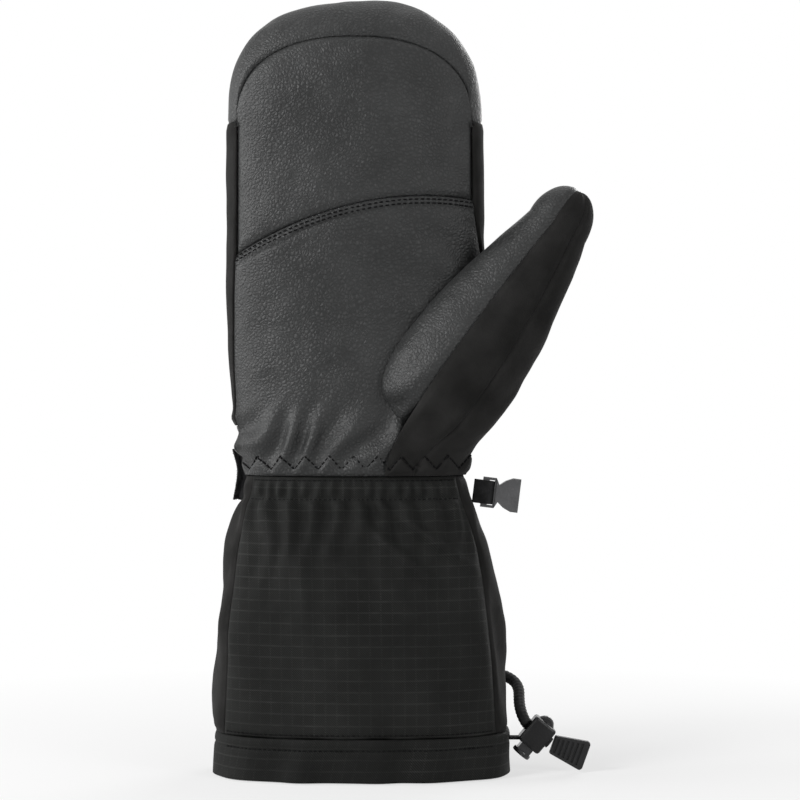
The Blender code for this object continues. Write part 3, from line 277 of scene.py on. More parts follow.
def palm_top(angle):
    """Top edge of the lower palm panel: the palm seam, and down the gussets at the sides."""
    if PALM_LEFT <= angle <= PALM_RIGHT:
        return palm_seam(angle)
    if angle < PALM_LEFT:
        share = max((angle - PALM_LEFT + GUSSET_ANGLE / 2) / (GUSSET_ANGLE / 2), 0.0)
        return PINKY_GUSSET_BOTTOM + (palm_seam(PALM_LEFT) - PINKY_GUSSET_BOTTOM) * share
    share = max((PALM_RIGHT + GUSSET_ANGLE / 2 - angle) / (GUSSET_ANGLE / 2), 0.0)
    return INDEX_GUSSET_BOTTOM + (palm_seam(PALM_RIGHT) - INDEX_GUSSET_BOTTOM) * share


def tip_seam(angle):
    """Rise of the U-shaped seam below the fingertip cap."""
    reach = min(abs(palm_x(angle)) / TIP_SEAM_HALF_WIDTH, 1.0)
    return TIP_START + TIP_SEAM_ANGLE * (1.0 - reach**TIP_SEAM_POWER) ** (1 / TIP_SEAM_POWER)


# Folds and puckers, in millimetres out of the surface


def hump(distance, width):
    return math.exp(-((distance / width) ** 2))


def wave(turns):
    return math.sin(math.tau * turns)


def kept_out(lift):
    """Eases a push inward so that the cloth never sinks into the filling."""
    if lift > -EASY_INWARD:
        return lift
    room = MOST_INWARD - EASY_INWARD
    return -EASY_INWARD - room * math.tanh((-EASY_INWARD - lift) / room)


def sewn_lift(lift, edge, roll):
    """Push that fades towards a panel's sewn edge, where the cloth rolls in."""
    return kept_out(lift * (1.0 - SEWN_HOLD * hump(edge, SEWN_REACH)) - roll * hump(edge, ROLL_WIDTH))


def ripple(point, size, seed):
    """Smooth random unevenness whose bumps are about this size."""
    return noise.noise(Vector((point.x / size + seed, point.y / size, point.z / size)))


def zigzag_height(x):
    """Height of the zigzag row over the wrist elastic."""
    swing = abs((x / ZIGZAG_PITCH * 2) % 2 - 1)
    return WRIST_HEIGHT + ZIGZAG_LOW + (ZIGZAG_HIGH - ZIGZAG_LOW) * swing


def wrist_flap(point):
    """The doubled edge below the zigzag stands out, and the stitching sinks in."""
    over = point.z - zigzag_height(point.x)
    fade = 1.0 + math.exp(min(over / FLAP_STEP, 50.0))
    return FLAP_HEIGHT / fade - ZIGZAG_SINK * hump(over, ZIGZAG_GROOVE)


def leather_push(point):
    """Soft unevenness of the filled palm, with pleats above the wrist elastic that lean to the thumb."""
    above = point.z - WRIST_HEIGHT
    lean = point.x - PALM_PLEAT_LEAN * above
    pleat = wave(lean / PALM_PLEAT_PITCH + 0.8 * ripple(point, 30.0, 3.0)) + 0.5
    gathers = PALM_PLEAT_HEIGHT * hump(above - PALM_PLEAT_RISE, PALM_PLEAT_REACH) * pleat
    beside_gore = 1.0 / (1.0 + math.exp(point.x - GORE_EDGE))
    fold = wave((point.x * 0.6 + point.z) / CROTCH_FOLD_PITCH + 0.6 * ripple(point, 30.0, 8.0))
    crotch = hump(math.hypot(point.x - CROTCH_X, point.z - CROTCH_Z), CROTCH_REACH)
    uneven = 1.2 * ripple(point, 36.0, 1.0) + 0.4 * ripple(point, 10.0, 2.0)
    return uneven + gathers + beside_gore * wrist_flap(point) + CROTCH_FOLD_HEIGHT * crotch * fold


def palm_lower_push(point):
    """The lower panel's top edge is a doubled strip over the upper panel, with two sunk rows of stitching."""
    drop = palm_seam_at(point.x) - point.z
    strip = STRIP_HEIGHT if drop < SEAM_STRIP else -STRIP_HEIGHT * hump(drop - SEAM_STRIP, STRIP_STEP)
    first, second = PALM_STITCH_ROWS
    rows = hump(drop - first, STITCH_GROOVE) + hump(drop - second, STITCH_GROOVE)
    return leather_push(point) + strip - STITCH_SINK * rows


def back_push(point):
    """Soft unevenness of the filled back, gathered at the wrist."""
    above = abs(point.z - WRIST_HEIGHT)
    pleat = wave(point.x / BACK_PLEAT_PITCH + 0.5 * ripple(point, 22.0, 5.0))
    uneven = 1.1 * ripple(point, 38.0, 4.0) + 0.3 * ripple(point, 10.0, 5.0)
    return uneven + BACK_PLEAT_HEIGHT * hump(above, BACK_PLEAT_REACH) * pleat


def gauntlet_push(point):
    """Puckers between two gather lines, pleats that fan out below, and slack folds, all flat at the clip."""
    below = WRIST_HEIGHT - point.z
    under = below - GATHER_DROP
    pucker = wave(point.x / PUCKER_PITCH + 0.4 * ripple(point, 12.0, 6.0))
    spread = point.x + 0.12 * below * ripple(point, 30.0, 4.0)
    pleat = wave(spread / FAN_PITCH + 0.4 * ripple(point, 20.0, 6.0))
    fan = math.exp(-max(under, 0.0) / FAN_LENGTH) * min(max((under + FAN_START) / FAN_RAMP, 0.0), 1.0)
    wrist_line = hump(below - WRIST_LINE_DROP, WRIST_LINE_GROOVE)
    line = hump(under, GATHER_GROOVE) + WRIST_LINE_SHARE * wrist_line
    slack = 1.0 - hump(below, SLACK_START)
    slanted = Vector((point.x * 0.75 + point.z * 0.5, point.y, point.z * 0.2))
    sweep = SWEEP_HEIGHT * ripple(slanted, SWEEP_SIZE, 7.0) + 0.9 * ripple(point, 40.0, 9.0) + SLACK_LIFT
    drape = sum(height * hump(point.x - x - lean * (below - drop), width) * hump(below - drop, reach)
                for x, drop, lean, width, reach, height in SLACK_FOLDS)
    gathers = PUCKER_HEIGHT * hump(below - PUCKER_DROP, PUCKER_REACH) * pucker + FAN_HEIGHT * fan * pleat
    lift = (gathers - GATHER_SINK * line + slack * sweep + FAN_LIFT * fan
            + 0.3 * ripple(point, 8.0, 2.5) + drape)
    return lift * (1.0 - hump((point - Vector(CLIP_BAR)).length, CLIP_ROOM))


def hem_push(point):
    """Waves of the hem band, drawn in at its top edge and along its stitching."""
    wobble = wave(point.x / HEM_WAVE_PITCH + 0.3 * ripple(point, 30.0, 1.5))
    rows = hump(point.z - HEM_HEIGHT, 1.0) + hump(point.z - HEM_STITCH_HEIGHT, 0.7)
    return HEM_WAVE_HEIGHT * wobble + 0.5 * ripple(point, 14.0, 3.5) - HEM_STITCH_SINK * rows


def thumb_push(point):
    """Soft unevenness of the thumb, with slanting folds low on it and the flap below its zigzag."""
    fold = wave((point.z - 0.5 * point.x) / THUMB_FOLD_PITCH + 0.7 * ripple(point, 26.0, 6.5))
    low = hump(point.z - THUMB_FOLD_Z, THUMB_FOLD_REACH)
    uneven = 0.8 * ripple(point, 26.0, 5.5) + 0.3 * ripple(point, 8.0, 4.5)
    return uneven + THUMB_FOLD_HEIGHT * low * fold + 0.8 * wrist_flap(point)


def nap_push(point):
    """Slight unevenness of fleece and pile."""
    return 0.25 * ripple(point, 12.0, 6.0)


def flat_push(point):
    return 0.0


# Meshes


def finish_object(name, bm, look, nodes, body):
    """Object from a mesh in millimetres round the hand's middle, riding on a body in place of CAD nodes."""
    for vertex in bm.verts:
        vertex.co = (vertex.co + HAND) * MM
    mesh = bpy.data.meshes.new(name)
    bm.to_mesh(mesh)
    bm.free()
    for polygon in mesh.polygons:
        polygon.use_smooth = True
    mesh.materials.append(look)
    obj = bpy.data.objects.new(name, mesh)
    bpy.context.scene.collection.objects.link(obj)
    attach(obj, body)
    if nodes:
        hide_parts(*nodes)
    return obj


def grid_normals(points):
    """Outward normals of a grid of points, rows first."""
    normals = []
    height, width = len(points), len(points[0])
    for j in range(height):
        row = []
        for i in range(width):
            along = points[j][min(i + 1, width - 1)] - points[j][max(i - 1, 0)]
            up = points[min(j + 1, height - 1)][i] - points[max(j - 1, 0)][i]
            normal = along.cross(up)
            row.append(normal.normalized() if normal.length > 1e-9 else Vector((0.0, 0.0, 1.0)))
        normals.append(row)
    return normals


def fabric(name, surface, angles, rows_at, push, look, nodes, thickness=SHELL, out=0.0, roll=SEAM_ROLL,
           body="mitten", shift=(0.0, 0.0, 0.0)):
    """Sewn panel: a fine grid over a surface, pushed out by its folds and rolled in along its sewn edges."""
    columns = [[surface(angle, rise) + Vector(shift) for rise in rows_at(angle)] for angle in angles]
    points = [list(row) for row in zip(*columns)]
    normals = grid_normals(points)
    height, width = len(points), len(points[0])
    middle = width // 2
    bm = bmesh.new()
    uv = bm.loops.layers.uv.new("cloth")
    places = {}
    outer, inner = [], []
    for j in range(height):
        lengths = [0.0]
        for i in range(1, width):
            lengths.append(lengths[-1] + (points[j][i] - points[j][i - 1]).length)
        outer_row, inner_row = [], []
        for i in range(width):
            point, normal = points[j][i], normals[j][i]
            side = min(lengths[i], lengths[-1] - lengths[i])
            end = min((point - points[0][i]).length, (point - points[-1][i]).length)
            lift = sewn_lift(push(point), min(side, end), roll)
            vertex = bm.verts.new(point + normal * (lift + out))
            places[vertex] = (lengths[i] - lengths[middle], point.z)
            outer_row.append(vertex)
            inner_row.append(bm.verts.new(point - normal * (thickness - out)))
        outer.append(outer_row)
        inner.append(inner_row)
    for j in range(1, height):
        for i in range(1, width):
            face = bm.faces.new((outer[j - 1][i - 1], outer[j - 1][i], outer[j][i], outer[j][i - 1]))
            for loop in face.loops:
                loop[uv].uv = places[loop.vert]
            bm.faces.new((inner[j][i - 1], inner[j][i], inner[j - 1][i], inner[j - 1][i - 1]))

    def rim(sheet):
        left = [row[0] for row in sheet[1:-1]]
        right = [row[-1] for row in sheet[1:-1]]
        return sheet[0] + right + sheet[-1][::-1] + left[::-1]

    outside, inside = rim(outer), rim(inner)
    for index in range(len(outside)):
        bm.faces.new((outside[index], outside[index - 1], inside[index - 1], inside[index]))
    bmesh.ops.remove_doubles(bm, verts=bm.verts, dist=MERGE_DISTANCE)
    panel = finish_object(name, bm, look, nodes, body)


def swept_ring(name, profile, push, look, nodes, columns=168):
    """Ring of cloth round the cuff or the hand; profile is a closed loop of (rise, inset)."""
    bm = bmesh.new()
    uv = bm.loops.layers.uv.new("cloth")
    rows = []
    places = {}
    for rise, inset in profile:
        row = []
        length = 0.0
        before = hand_point(0.0, rise, inset)
        for step in range(columns):
            point = hand_point(360.0 * step / columns, rise, inset)
            length += (point - before).length
            before = point
            level = Vector((point.x, point.y, 0.0)).normalized()
            vertex = bm.verts.new(point + level * push(point))
            places[vertex] = (length, rise)
            row.append(vertex)
        rows.append(row)
    for j in range(len(rows)):
        for i in range(columns):
            face = bm.faces.new((rows[j - 1][i - 1], rows[j - 1][i], rows[j][i], rows[j][i - 1]))
            for loop in face.loops:
                loop[uv].uv = places[loop.vert]
    bmesh.ops.recalc_face_normals(bm, faces=bm.faces)
    return finish_object(name, bm, look, nodes, "mitten")


def skin(bm, rings):
    """Closed surface over rings of vertices, one after another."""
    for before, after in zip(rings, rings[1:]):
        for side in range(len(before)):
            bm.faces.new((before[side - 1], before[side], after[side], after[side - 1]))
    bm.faces.new(rings[0][::-1])
    bm.faces.new(rings[-1])


def tube(bm, path, radius, sides=6):
    """Round thread along points, drawn in at its ends."""
    rings = []
    last = len(path) - 1
    turns = [math.tau * step / sides for step in range(sides)]
    for index, point in enumerate(path):
        ahead = path[min(index + 1, last)] - path[max(index - 1, 0)]
        across = ahead.orthogonal().normalized()
        other = ahead.cross(across).normalized()
        size = radius * (THREAD_END if index in (0, last) else 1.0)
        ring = [point + (across * math.cos(turn) + other * math.sin(turn)) * size for turn in turns]
        rings.append([bm.verts.new(place) for place in ring])
    skin(bm, rings)


def spot(surface, angle, rise, push, out, edge):
    """Point on a pushed surface, this far from the panel's sewn edge."""
    point = surface(angle, rise)
    along = surface(angle + 0.5, rise) - surface(angle - 0.5, rise)
    up = surface(angle, rise + 0.5) - surface(angle, rise - 0.5)
    normal = along.cross(up).normalized()
    return point + normal * (sewn_lift(push(point), edge, SEAM_ROLL) + out)


def stitches(name, surface, path, push, slot, pitch=2.5, length=1.8, radius=0.3, out=0.1, edge=FAR):
    """Row of short threads along a path of (angle, rise)."""
    line = [spot(surface, angle, rise, push, out, edge) for angle, rise in path]
    bm = bmesh.new()
    travelled = 0.0
    stitch = []
    for before, after in zip(line, line[1:]):
        travelled += (after - before).length
        if travelled % pitch < length:
            stitch.append(after)
            continue
        if len(stitch) > 1:
            tube(bm, stitch, radius)
        stitch = []
    finish_object(name, bm, THREAD, (), "mitten")


# Materials


class Look:
    """Procedural material with its shader, placed by the object's own coordinates in metres."""

    def __init__(self, name, roughness, metallic=0.0, specular=0.5):
        self.material = bpy.data.materials.new(name)
        self.material.use_nodes = True
        self.tree = self.material.node_tree
        self.shader = self.tree.nodes["Principled BSDF"]
        self.shader.inputs["Roughness"].default_value = roughness
        self.shader.inputs["Metallic"].default_value = metallic
        self.shader.inputs["Specular IOR Level"].default_value = specular
        self.place = self.tree.nodes.new("ShaderNodeTexCoord")
        self.bump = None

    def node(self, kind, **inputs):
        made = self.tree.nodes.new(kind)
        for key, value in inputs.items():
            made.inputs[key].default_value = value
        return made

    def link(self, out, into):
        self.tree.links.new(out, into)

    def math(self, operation, first, second=0.0):
        made = self.tree.nodes.new("ShaderNodeMath")
        made.operation = operation
        for socket, value in zip(made.inputs, (first, second)):
            if isinstance(value, (int, float)):
                socket.default_value = value
            else:
                self.link(value, socket)
        return made.outputs[0]

    def noise(self, scale, detail=3.0):
        made = self.node("ShaderNodeTexNoise", Scale=scale, Detail=detail)
        self.link(self.place.outputs["Object"], made.inputs["Vector"])
        return made.outputs["Fac"]

    def cells(self, scale):
        made = self.node("ShaderNodeTexVoronoi", Scale=scale)
        made.feature = "DISTANCE_TO_EDGE"
        self.link(self.place.outputs["Object"], made.inputs["Vector"])
        return made.outputs["Distance"]

    def raise_by(self, height, strength, distance):
        """Adds a layer of bump; distance is in metres."""
        made = self.node("ShaderNodeBump", Strength=strength, Distance=distance)
        self.link(height, made.inputs["Height"])
        if self.bump:
            self.link(self.bump.outputs["Normal"], made.inputs["Normal"])
        self.bump = made
        self.link(made.outputs["Normal"], self.shader.inputs["Normal"])

    def colour(self, factor, stops):
        ramp = self.node("ShaderNodeValToRGB")
        elements = ramp.color_ramp.elements
        while len(elements) < len(stops):
            elements.new(0.5)
        for element, (place, value) in zip(elements, stops):
            element.position = place
            element.color = (*value, 1.0)
        self.link(factor, ramp.inputs["Fac"])
        self.link(ramp.outputs["Color"], self.shader.inputs["Base Color"])

    def rough(self, factor, low, high):
        spread = self.node("ShaderNodeMapRange", **{"To Min": low, "To Max": high})
        self.link(factor, spread.inputs["Value"])
        self.link(spread.outputs["Result"], self.shader.inputs["Roughness"])


def leather_look():
    look = Look("charcoal leather", 0.5, specular=0.3)
    grain = look.cells(620.0)
    pores = look.noise(1700.0, 2.0)
    cloud = look.noise(38.0, 4.0)
    # Colour is a random cloudy tone plus the grain's cells, darker towards the cell edges: painted shade in
    # the grain's crevices
    tone_and_crevice_shade = look.math("ADD", look.math("MULTIPLY", cloud, 0.65), look.math("MULTIPLY", grain, 0.7))
    dark, middle, light = (0.010, 0.0104, 0.0104), (0.026, 0.0267, 0.0267), (0.046, 0.047, 0.047)
    look.colour(tone_and_crevice_shade, ((0.22, dark), (0.5, middle), (0.85, light)))
    look.rough(look.noise(120.0), 0.38, 0.56)
    look.raise_by(look.noise(150.0, 4.0), 0.35, 0.0012)
    look.raise_by(grain, 0.6, 0.0007)
    look.raise_by(pores, 0.45, 0.0002)
    return look.material


def softshell_look():
    look = Look("black softshell", 0.85, specular=0.08)
    weave = look.noise(2600.0, 1.0)
    dark, light = (0.011, 0.0108, 0.0104), (0.026, 0.0254, 0.0248)
    look.colour(look.noise(60.0, 5.0), ((0.3, dark), (0.75, light)))
    look.shader.inputs["Sheen Weight"].default_value = 0.03
    look.raise_by(look.noise(170.0, 3.0), 0.25, 0.001)
    look.raise_by(weave, 0.5, 0.0003)
    return look.material


def twill_look(name, lighter):
    """Ripstop: a fine diagonal twill under a grid of thicker threads; the UV map is in millimetres."""
    look = Look(name, 0.72, specular=0.12)
    split = look.node("ShaderNodeSeparateXYZ")
    look.link(look.place.outputs["UV"], split.inputs[0])
    across, up = split.outputs["X"], split.outputs["Y"]

    def waves(operation, place, length):
        return look.math(operation, look.math("MULTIPLY", place, math.tau / length))

    def grid_threads(place):
        """Thin lines at the middle of each cell of the grid."""
        crests = look.math("ABSOLUTE", waves("COSINE", place, 2 * RIPSTOP_GRID))
        return look.math("POWER", crests, THREAD_SHARPNESS)

    diagonal = waves("SINE", look.math("ADD", across, up), TWILL_PITCH)
    level = grid_threads(up)
    plumb = grid_threads(across)
    dashes = look.math("GREATER_THAN", waves("SINE", up, DASH_PITCH), -0.1)
    dots = look.math("MULTIPLY", plumb, dashes)
    threads = look.math("MAXIMUM", level, look.math("MULTIPLY", dots, 0.8))
    patches = look.math("MULTIPLY", look.noise(160.0, 3.0), look.noise(30.0, 2.0))
    uneven = look.math("MULTIPLY", threads, patches)
    cloud = look.math("MULTIPLY", look.noise(45.0, 4.0), 0.45)
    ground = look.math("ADD", look.math("MULTIPLY", diagonal, 0.14), cloud)
    shade = look.math("ADD", look.math("MULTIPLY", uneven, 0.7), ground)
    stops = ((0.15, (0.006, 0.0062, 0.0058)), (0.42, (0.021, 0.0216, 0.0205)), (0.85, (0.05, 0.05, 0.048)))
    look.colour(shade, [(place, [lighter * value for value in colour]) for place, colour in stops])
    look.raise_by(look.noise(140.0, 3.0), 0.3, 0.0011)
    look.raise_by(diagonal, 0.35, 0.00012)
    look.raise_by(threads, 0.4, 0.00025)
    return look.material


def plain_look(name, dark, light, roughness, grain, bump, metallic=0.0, specular=0.5):
    """Moulded, woven or brushed surface: two tones, uneven gloss, and a grain by its scale and height."""
    look = Look(name, roughness, metallic, specular)
    look.colour(look.noise(grain * 0.12, 4.0), ((0.3, tone(dark)), (0.72, tone(light))))
    look.rough(look.noise(grain * 0.3), roughness * 0.8, min(roughness * 1.25, 1.0))
    look.raise_by(look.noise(grain, 2.0), 0.4, bump)
    return look.material


def tone(value):
    """Grey with a touch of blue."""
    return (value, value, value * 1.04)


LEATHER = leather_look()
SOFTSHELL = softshell_look()
TWILL = twill_look("charcoal ripstop", 1.0)
HEM_TWILL = twill_look("hem ripstop", 0.85)
THREAD = plain_look("black thread", 0.004, 0.012, 0.55, 3000.0, 0.0001, specular=0.03)
FLEECE = plain_look("black fleece", 0.012, 0.03, 0.95, 900.0, 0.0014, specular=0.1)
FILL = plain_look("white batting", 0.6, 0.8, 0.95, 500.0, 0.002)
MEMBRANE = plain_look("grey film", 0.5, 0.62, 0.45, 800.0, 0.0002)
CORD = plain_look("braided cord", 0.008, 0.03, 0.7, 2200.0, 0.0003, specular=0.25)
WEBBING = plain_look("black webbing", 0.008, 0.024, 0.8, 1900.0, 0.0004, specular=0.2)
PILE = plain_look("loop pile", 0.01, 0.045, 0.9, 1500.0, 0.0008, specular=0.12)
PLASTIC = plain_look("satin black plastic", 0.008, 0.016, 0.26, 1100.0, 0.00008, specular=0.2)
# The buckle's black plastic gets a light grey base colour: a painted sheen that stands for its glossy
# reflection
CLIP_PLASTIC_PAINTED_SHEEN = plain_look("clip plastic with painted sheen", 0.07, 0.11, 0.25, 1100.0, 0.00006)
GREY_PLASTIC = plain_look("grey plastic", 0.03, 0.05, 0.2, 900.0, 0.00005, specular=0.3)
RUBBER = plain_look("black rubber", 0.009, 0.02, 0.45, 1400.0, 0.00012, specular=0.25)
STEEL = plain_look("spring steel", 0.5, 0.65, 0.28, 1500.0, 0.00003, metallic=1.0)
EYELET = plain_look("black eyelet", 0.05, 0.09, 0.35, 900.0, 0.00004, metallic=1.0)


def paint_nodes():
    """Finishes of the CAD nodes that keep their shape, shown or sealed inside."""
    finishes = {
        FILL: ("palm_insulation", "back_insulation", "thumb_insulation", "cuff_insulation"),
        MEMBRANE: ("hand_membrane", "thumb_membrane"),
        FLEECE: ("thumb_palm_lining", "thumb_back_lining"),
        WEBBING: ("wrist_elastic", "hook_tape"),
        CORD: ("cinch_cord", "cord_tail"),
        CLIP_PLASTIC_PAINTED_SHEEN: ("clip_buckle",),
        PLASTIC: ("cord_lock_body",),
        GREY_PLASTIC: ("cord_lock_plunger",),
        STEEL: ("cord_lock_spring",),
        EYELET: ("cord_eyelet",),
        RUBBER: ("pull_tab",),
    }
    for look, names in finishes.items():
        for name in names:
            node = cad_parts[name]
            node.data.materials.clear()
            node.data.materials.append(look)


# Pieces of the mitten


def make_hand():
    """Panels of the hand, with a softened edge along each seam."""
    gap = SEAM_GAP / 2
    front, back = (0.0, -gap, 0.0), (0.0, gap, 0.0)
    half = span(180.0, 360.0, 132)
    palm = span(PALM_LEFT, PALM_RIGHT, 100)

    def lower_rows(angle):
        return span(WRIST_HEIGHT + gap, palm_top(angle) - gap, 84)

    def upper_rows(angle):
        return span(palm_seam(angle) + gap, TIP_START, 34) + span(TIP_START, tip_seam(angle) - gap, 26)[1:]

    def tip_rows(angle):
        return span(tip_seam(angle) + SEAM_GAP, TIP_START + POLE, 54)

    def gusset_rows(angle):
        return span(palm_top(angle) + gap, TIP_START + GUSSET_OVERLAP, 90)

    def back_rows(angle):
        return span(WRIST_HEIGHT + gap, TIP_START, 96) + span(TIP_START, TIP_START + POLE, 44)[1:]

    fabric("palm_lower", hand_point, half, lower_rows, palm_lower_push, LEATHER, ["palm_lower_panel"],
           shift=front, roll=0.35)
    fabric("palm_upper", hand_point, palm, upper_rows, leather_push, LEATHER, ["palm_upper_panel"],
           shift=front)
    fabric("tip_cap", hand_point, half, tip_rows, leather_push, LEATHER, ["fingertip_cap"],
           shift=front)
    for name, start, node in (("pinky_gusset", 180.0, "pinky_side_gusset"),
                              ("index_gusset", PALM_RIGHT, "index_side_gusset")):
        fabric(name, hand_point, span(start, start + GUSSET_ANGLE, 18), gusset_rows, leather_push, SOFTSHELL,
               [node], out=GUSSET_LIFT, roll=0.5, shift=front)
    fabric("back_hand", hand_point, span(0.0, 180.0, 110), back_rows, back_push, SOFTSHELL,
           ["back_hand_panel"], shift=back)


def crossing(low, high, before, halvings):
    """Where before stops being true between low and high."""
    for _ in range(halvings):
        middle = (low + high) / 2
        if before(middle):
            low = middle
        else:
            high = middle
    return low


@functools.lru_cache(maxsize=None)
def thumb_start(angle):
    """Where the thumb's surface leaves the hand."""
    def sunk(along):
        return inside_hand(thumb_point(angle, along))

    return crossing(-THUMB_SINK, THUMB_LENGTH, sunk, 24)


def gore_angle(angle):
    """Where round the wrist the thumb panels' column at this angle ends."""
    stations = ((BACK_COLUMN, GORE_BACK_ANGLE), (BEHIND_COLUMN, GORE_BEHIND_ANGLE), (0.0, GORE_SIDE_ANGLE),
                (THUMB_FRONT_SEAM, GORE_MIDDLE_ANGLE), (THUMB_PALM_SEAM, GORE_PALM_ANGLE))
    return smooth_value(stations, angle)


def thumb_drape(angle, row):
    """Outer thumb panels: row -1 to 0 hangs down to the wrist seam, 0 to 1 is the thumb, 1 to 2 its tip."""
    reach = smooth_value(((BACK_COLUMN, BACK_REACH), (BEHIND_COLUMN, DRAPE_REACH * BEHIND_REACH),
                          (SIDE_COLUMN, DRAPE_REACH), (THUMB_PALM_SEAM, DRAPE_REACH)), angle)
    leave = thumb_start(angle) + reach
    if row >= 0.0:
        along = leave + (THUMB_LENGTH - leave) * min(row, 1.0) + POLE * max(row - 1.0, 0.0)
        return thumb_point(angle, along)
    share = row + 1.0
    low = hand_point(gore_angle(angle), WRIST_HEIGHT, -GORE_LIFT)
    high = thumb_point(angle, leave)
    length = (high - low).length
    start = Vector((0.1, -0.25, 1.0)).normalized() * length
    end = (thumb_point(angle, leave + 2.0) - high).normalized() * length
    return (low * (2 * share**3 - 3 * share**2 + 1) + start * (share**3 - 2 * share**2 + share)
            + high * (3 * share**2 - 2 * share**3) + end * (share**3 - share**2))


def gore_point(turn, rise):
    """Point of the cloth below the thumb, by the turn from its palm seam and a rough rise over the wrist."""
    return thumb_drape(THUMB_PALM_SEAM - turn, rise / GORE_HEIGHT - 1.0)


def gore_zigzag(turn):
    """Rise at which the zigzag row crosses this column of the gore."""
    def below(rise):
        point = gore_point(turn, rise)
        return point.z < zigzag_height(point.x)

    return crossing(0.0, GORE_HEIGHT, below, 20)


def make_thumb():
    """Leather inside of the thumb, sewn into the palm, and two cloth panels that run down to the wrist."""
    hanging = span(-1.0, -0.7, 22)[:-1] + span(-0.7, 0.0, 20)[:-1]
    rows = hanging + span(0.0, 1.0, 66) + span(1.0, 2.0, 26)[1:]
    column_turn, least_columns = 2.4, 18

    def inner_rows(angle):
        start = thumb_start(angle) - THUMB_TUCK
        return span(start, THUMB_LENGTH, 76) + span(THUMB_LENGTH, THUMB_LENGTH + POLE, 26)[1:]

    for name, start, end, node in (("thumb_outer", BACK_COLUMN, THUMB_FRONT_SEAM, "thumb_outer_panel"),
                                   ("thumb_front", THUMB_FRONT_SEAM, THUMB_PALM_SEAM, "thumb_front_panel")):
        columns = span(end, start, max(round((end - start) / column_turn), least_columns))
        fabric(name, thumb_drape, columns, lambda angle: rows, thumb_push, SOFTSHELL, [node])
    fabric("thumb_inner", thumb_point, span(THUMB_BACK_SEAM, THUMB_PALM_SEAM, 66), inner_rows, thumb_push,
           LEATHER, ["thumb_inner_panel"])


def sleeve(rises, cavity):
    """Profile of a layer of lining between its outer face and the cavity."""
    return [(rise, LINING_OUTER) for rise in rises] + [(rise, cavity) for rise in rises[::-1]]


def make_cuff():
    """Gauntlet panels, folded hem band and the fleece inside."""
    gap = SEAM_GAP / 2
    rows = span(HEM_HEIGHT + gap, WRIST_HEIGHT - gap, 108)
    fabric("gauntlet_front", hand_point, span(PALM_LEFT, PALM_RIGHT, 116), lambda angle: rows,
           gauntlet_push, TWILL, ["gauntlet_front_panel"])
    fabric("gauntlet_back", hand_point, span(-GUSSET_ANGLE, PALM_LEFT, 150), lambda angle: rows,
           gauntlet_push, SOFTSHELL, ["gauntlet_back_panel"])
    top, floor, wall = HEM_HEIGHT - gap, 2.2, 1.9
    outside = [(rise, -SEAM_GAP) for rise in span(top, 0.0, 20)]
    bottom = [(0.0, inset) for inset in span(0.6, CUFF_CAVITY, 5)]
    inside = [(rise, CUFF_CAVITY) for rise in span(1.0, top, 8)]
    fold = [(top, CUFF_CAVITY - wall), (floor, CUFF_CAVITY - wall), (floor, wall), (top, wall)]
    swept_ring("hem", outside + bottom + inside + fold, hem_push, HEM_TWILL, ["hem_band"], 220)
    low = span(top + SEAM_GAP, WRIST_HEIGHT - (LINING_JOIN + SEAM_GAP), 40)
    swept_ring("cuff_fleece", sleeve(low, CUFF_CAVITY), nap_push, FLEECE, ["cuff_lining"])
    deep = span(WRIST_HEIGHT - LINING_JOIN, TIP_START, 40) + span(TIP_START, TIP_START + POLE - 2.0, 12)[1:]
    swept_ring("hand_fleece", sleeve(deep, CAVITY), nap_push, FLEECE, ["palm_lining", "back_lining"],
               120)


def make_stitching():
    """Double rows along the palm seam, single rows at the cuff, and the zigzag on the wrist elastic."""
    palm_arc = span(PALM_LEFT + 1.0, PALM_RIGHT - 1.0, 700)
    for row, offset in enumerate(PALM_STITCH_ROWS):
        path = [(angle, palm_seam(angle) - offset) for angle in palm_arc]
        stitches("palm_stitch_" + str(row + 1), hand_point, path, palm_lower_push, "leather", out=0.15)
    cuff_arc = span(PALM_LEFT + 3.0, PALM_RIGHT - 3.0, 700)
    cuff_rows = (
        ("wrist_stitch", WRIST_HEIGHT - 1.7, gauntlet_push, 0.1, 1.6),
        ("gather_stitch", WRIST_HEIGHT - GATHER_DROP, gauntlet_push, 0.1, FAR),
        ("hem_stitch_high", HEM_HEIGHT + 1.6, gauntlet_push, 0.1, 1.5),
        ("hem_stitch_low", HEM_STITCH_HEIGHT, hem_push, 0.4, FAR),
    )
    for name, rise, push, out, edge in cuff_rows:
        path = [(angle, rise) for angle in cuff_arc]
        stitches(name, hand_point, path, push, "twill", 2.2, 1.6, 0.26, out, edge)
    zigzag = {"pitch": 2.3, "length": 1.9, "radius": 0.42, "out": 0.2}
    wrist_arc = span(190.0, GORE_PALM_ANGLE, 600)
    path = [(angle, zigzag_height(hand_point(angle, WRIST_HEIGHT).x)) for angle in wrist_arc]
    stitches("wrist_zigzag", hand_point, path, leather_push, "leather", **zigzag)
    path = [(turn, gore_zigzag(turn)) for turn in span(1.0, 150.0, 500)]
    stitches("gore_zigzag", gore_point, path, thumb_push, "softshell", **zigzag)


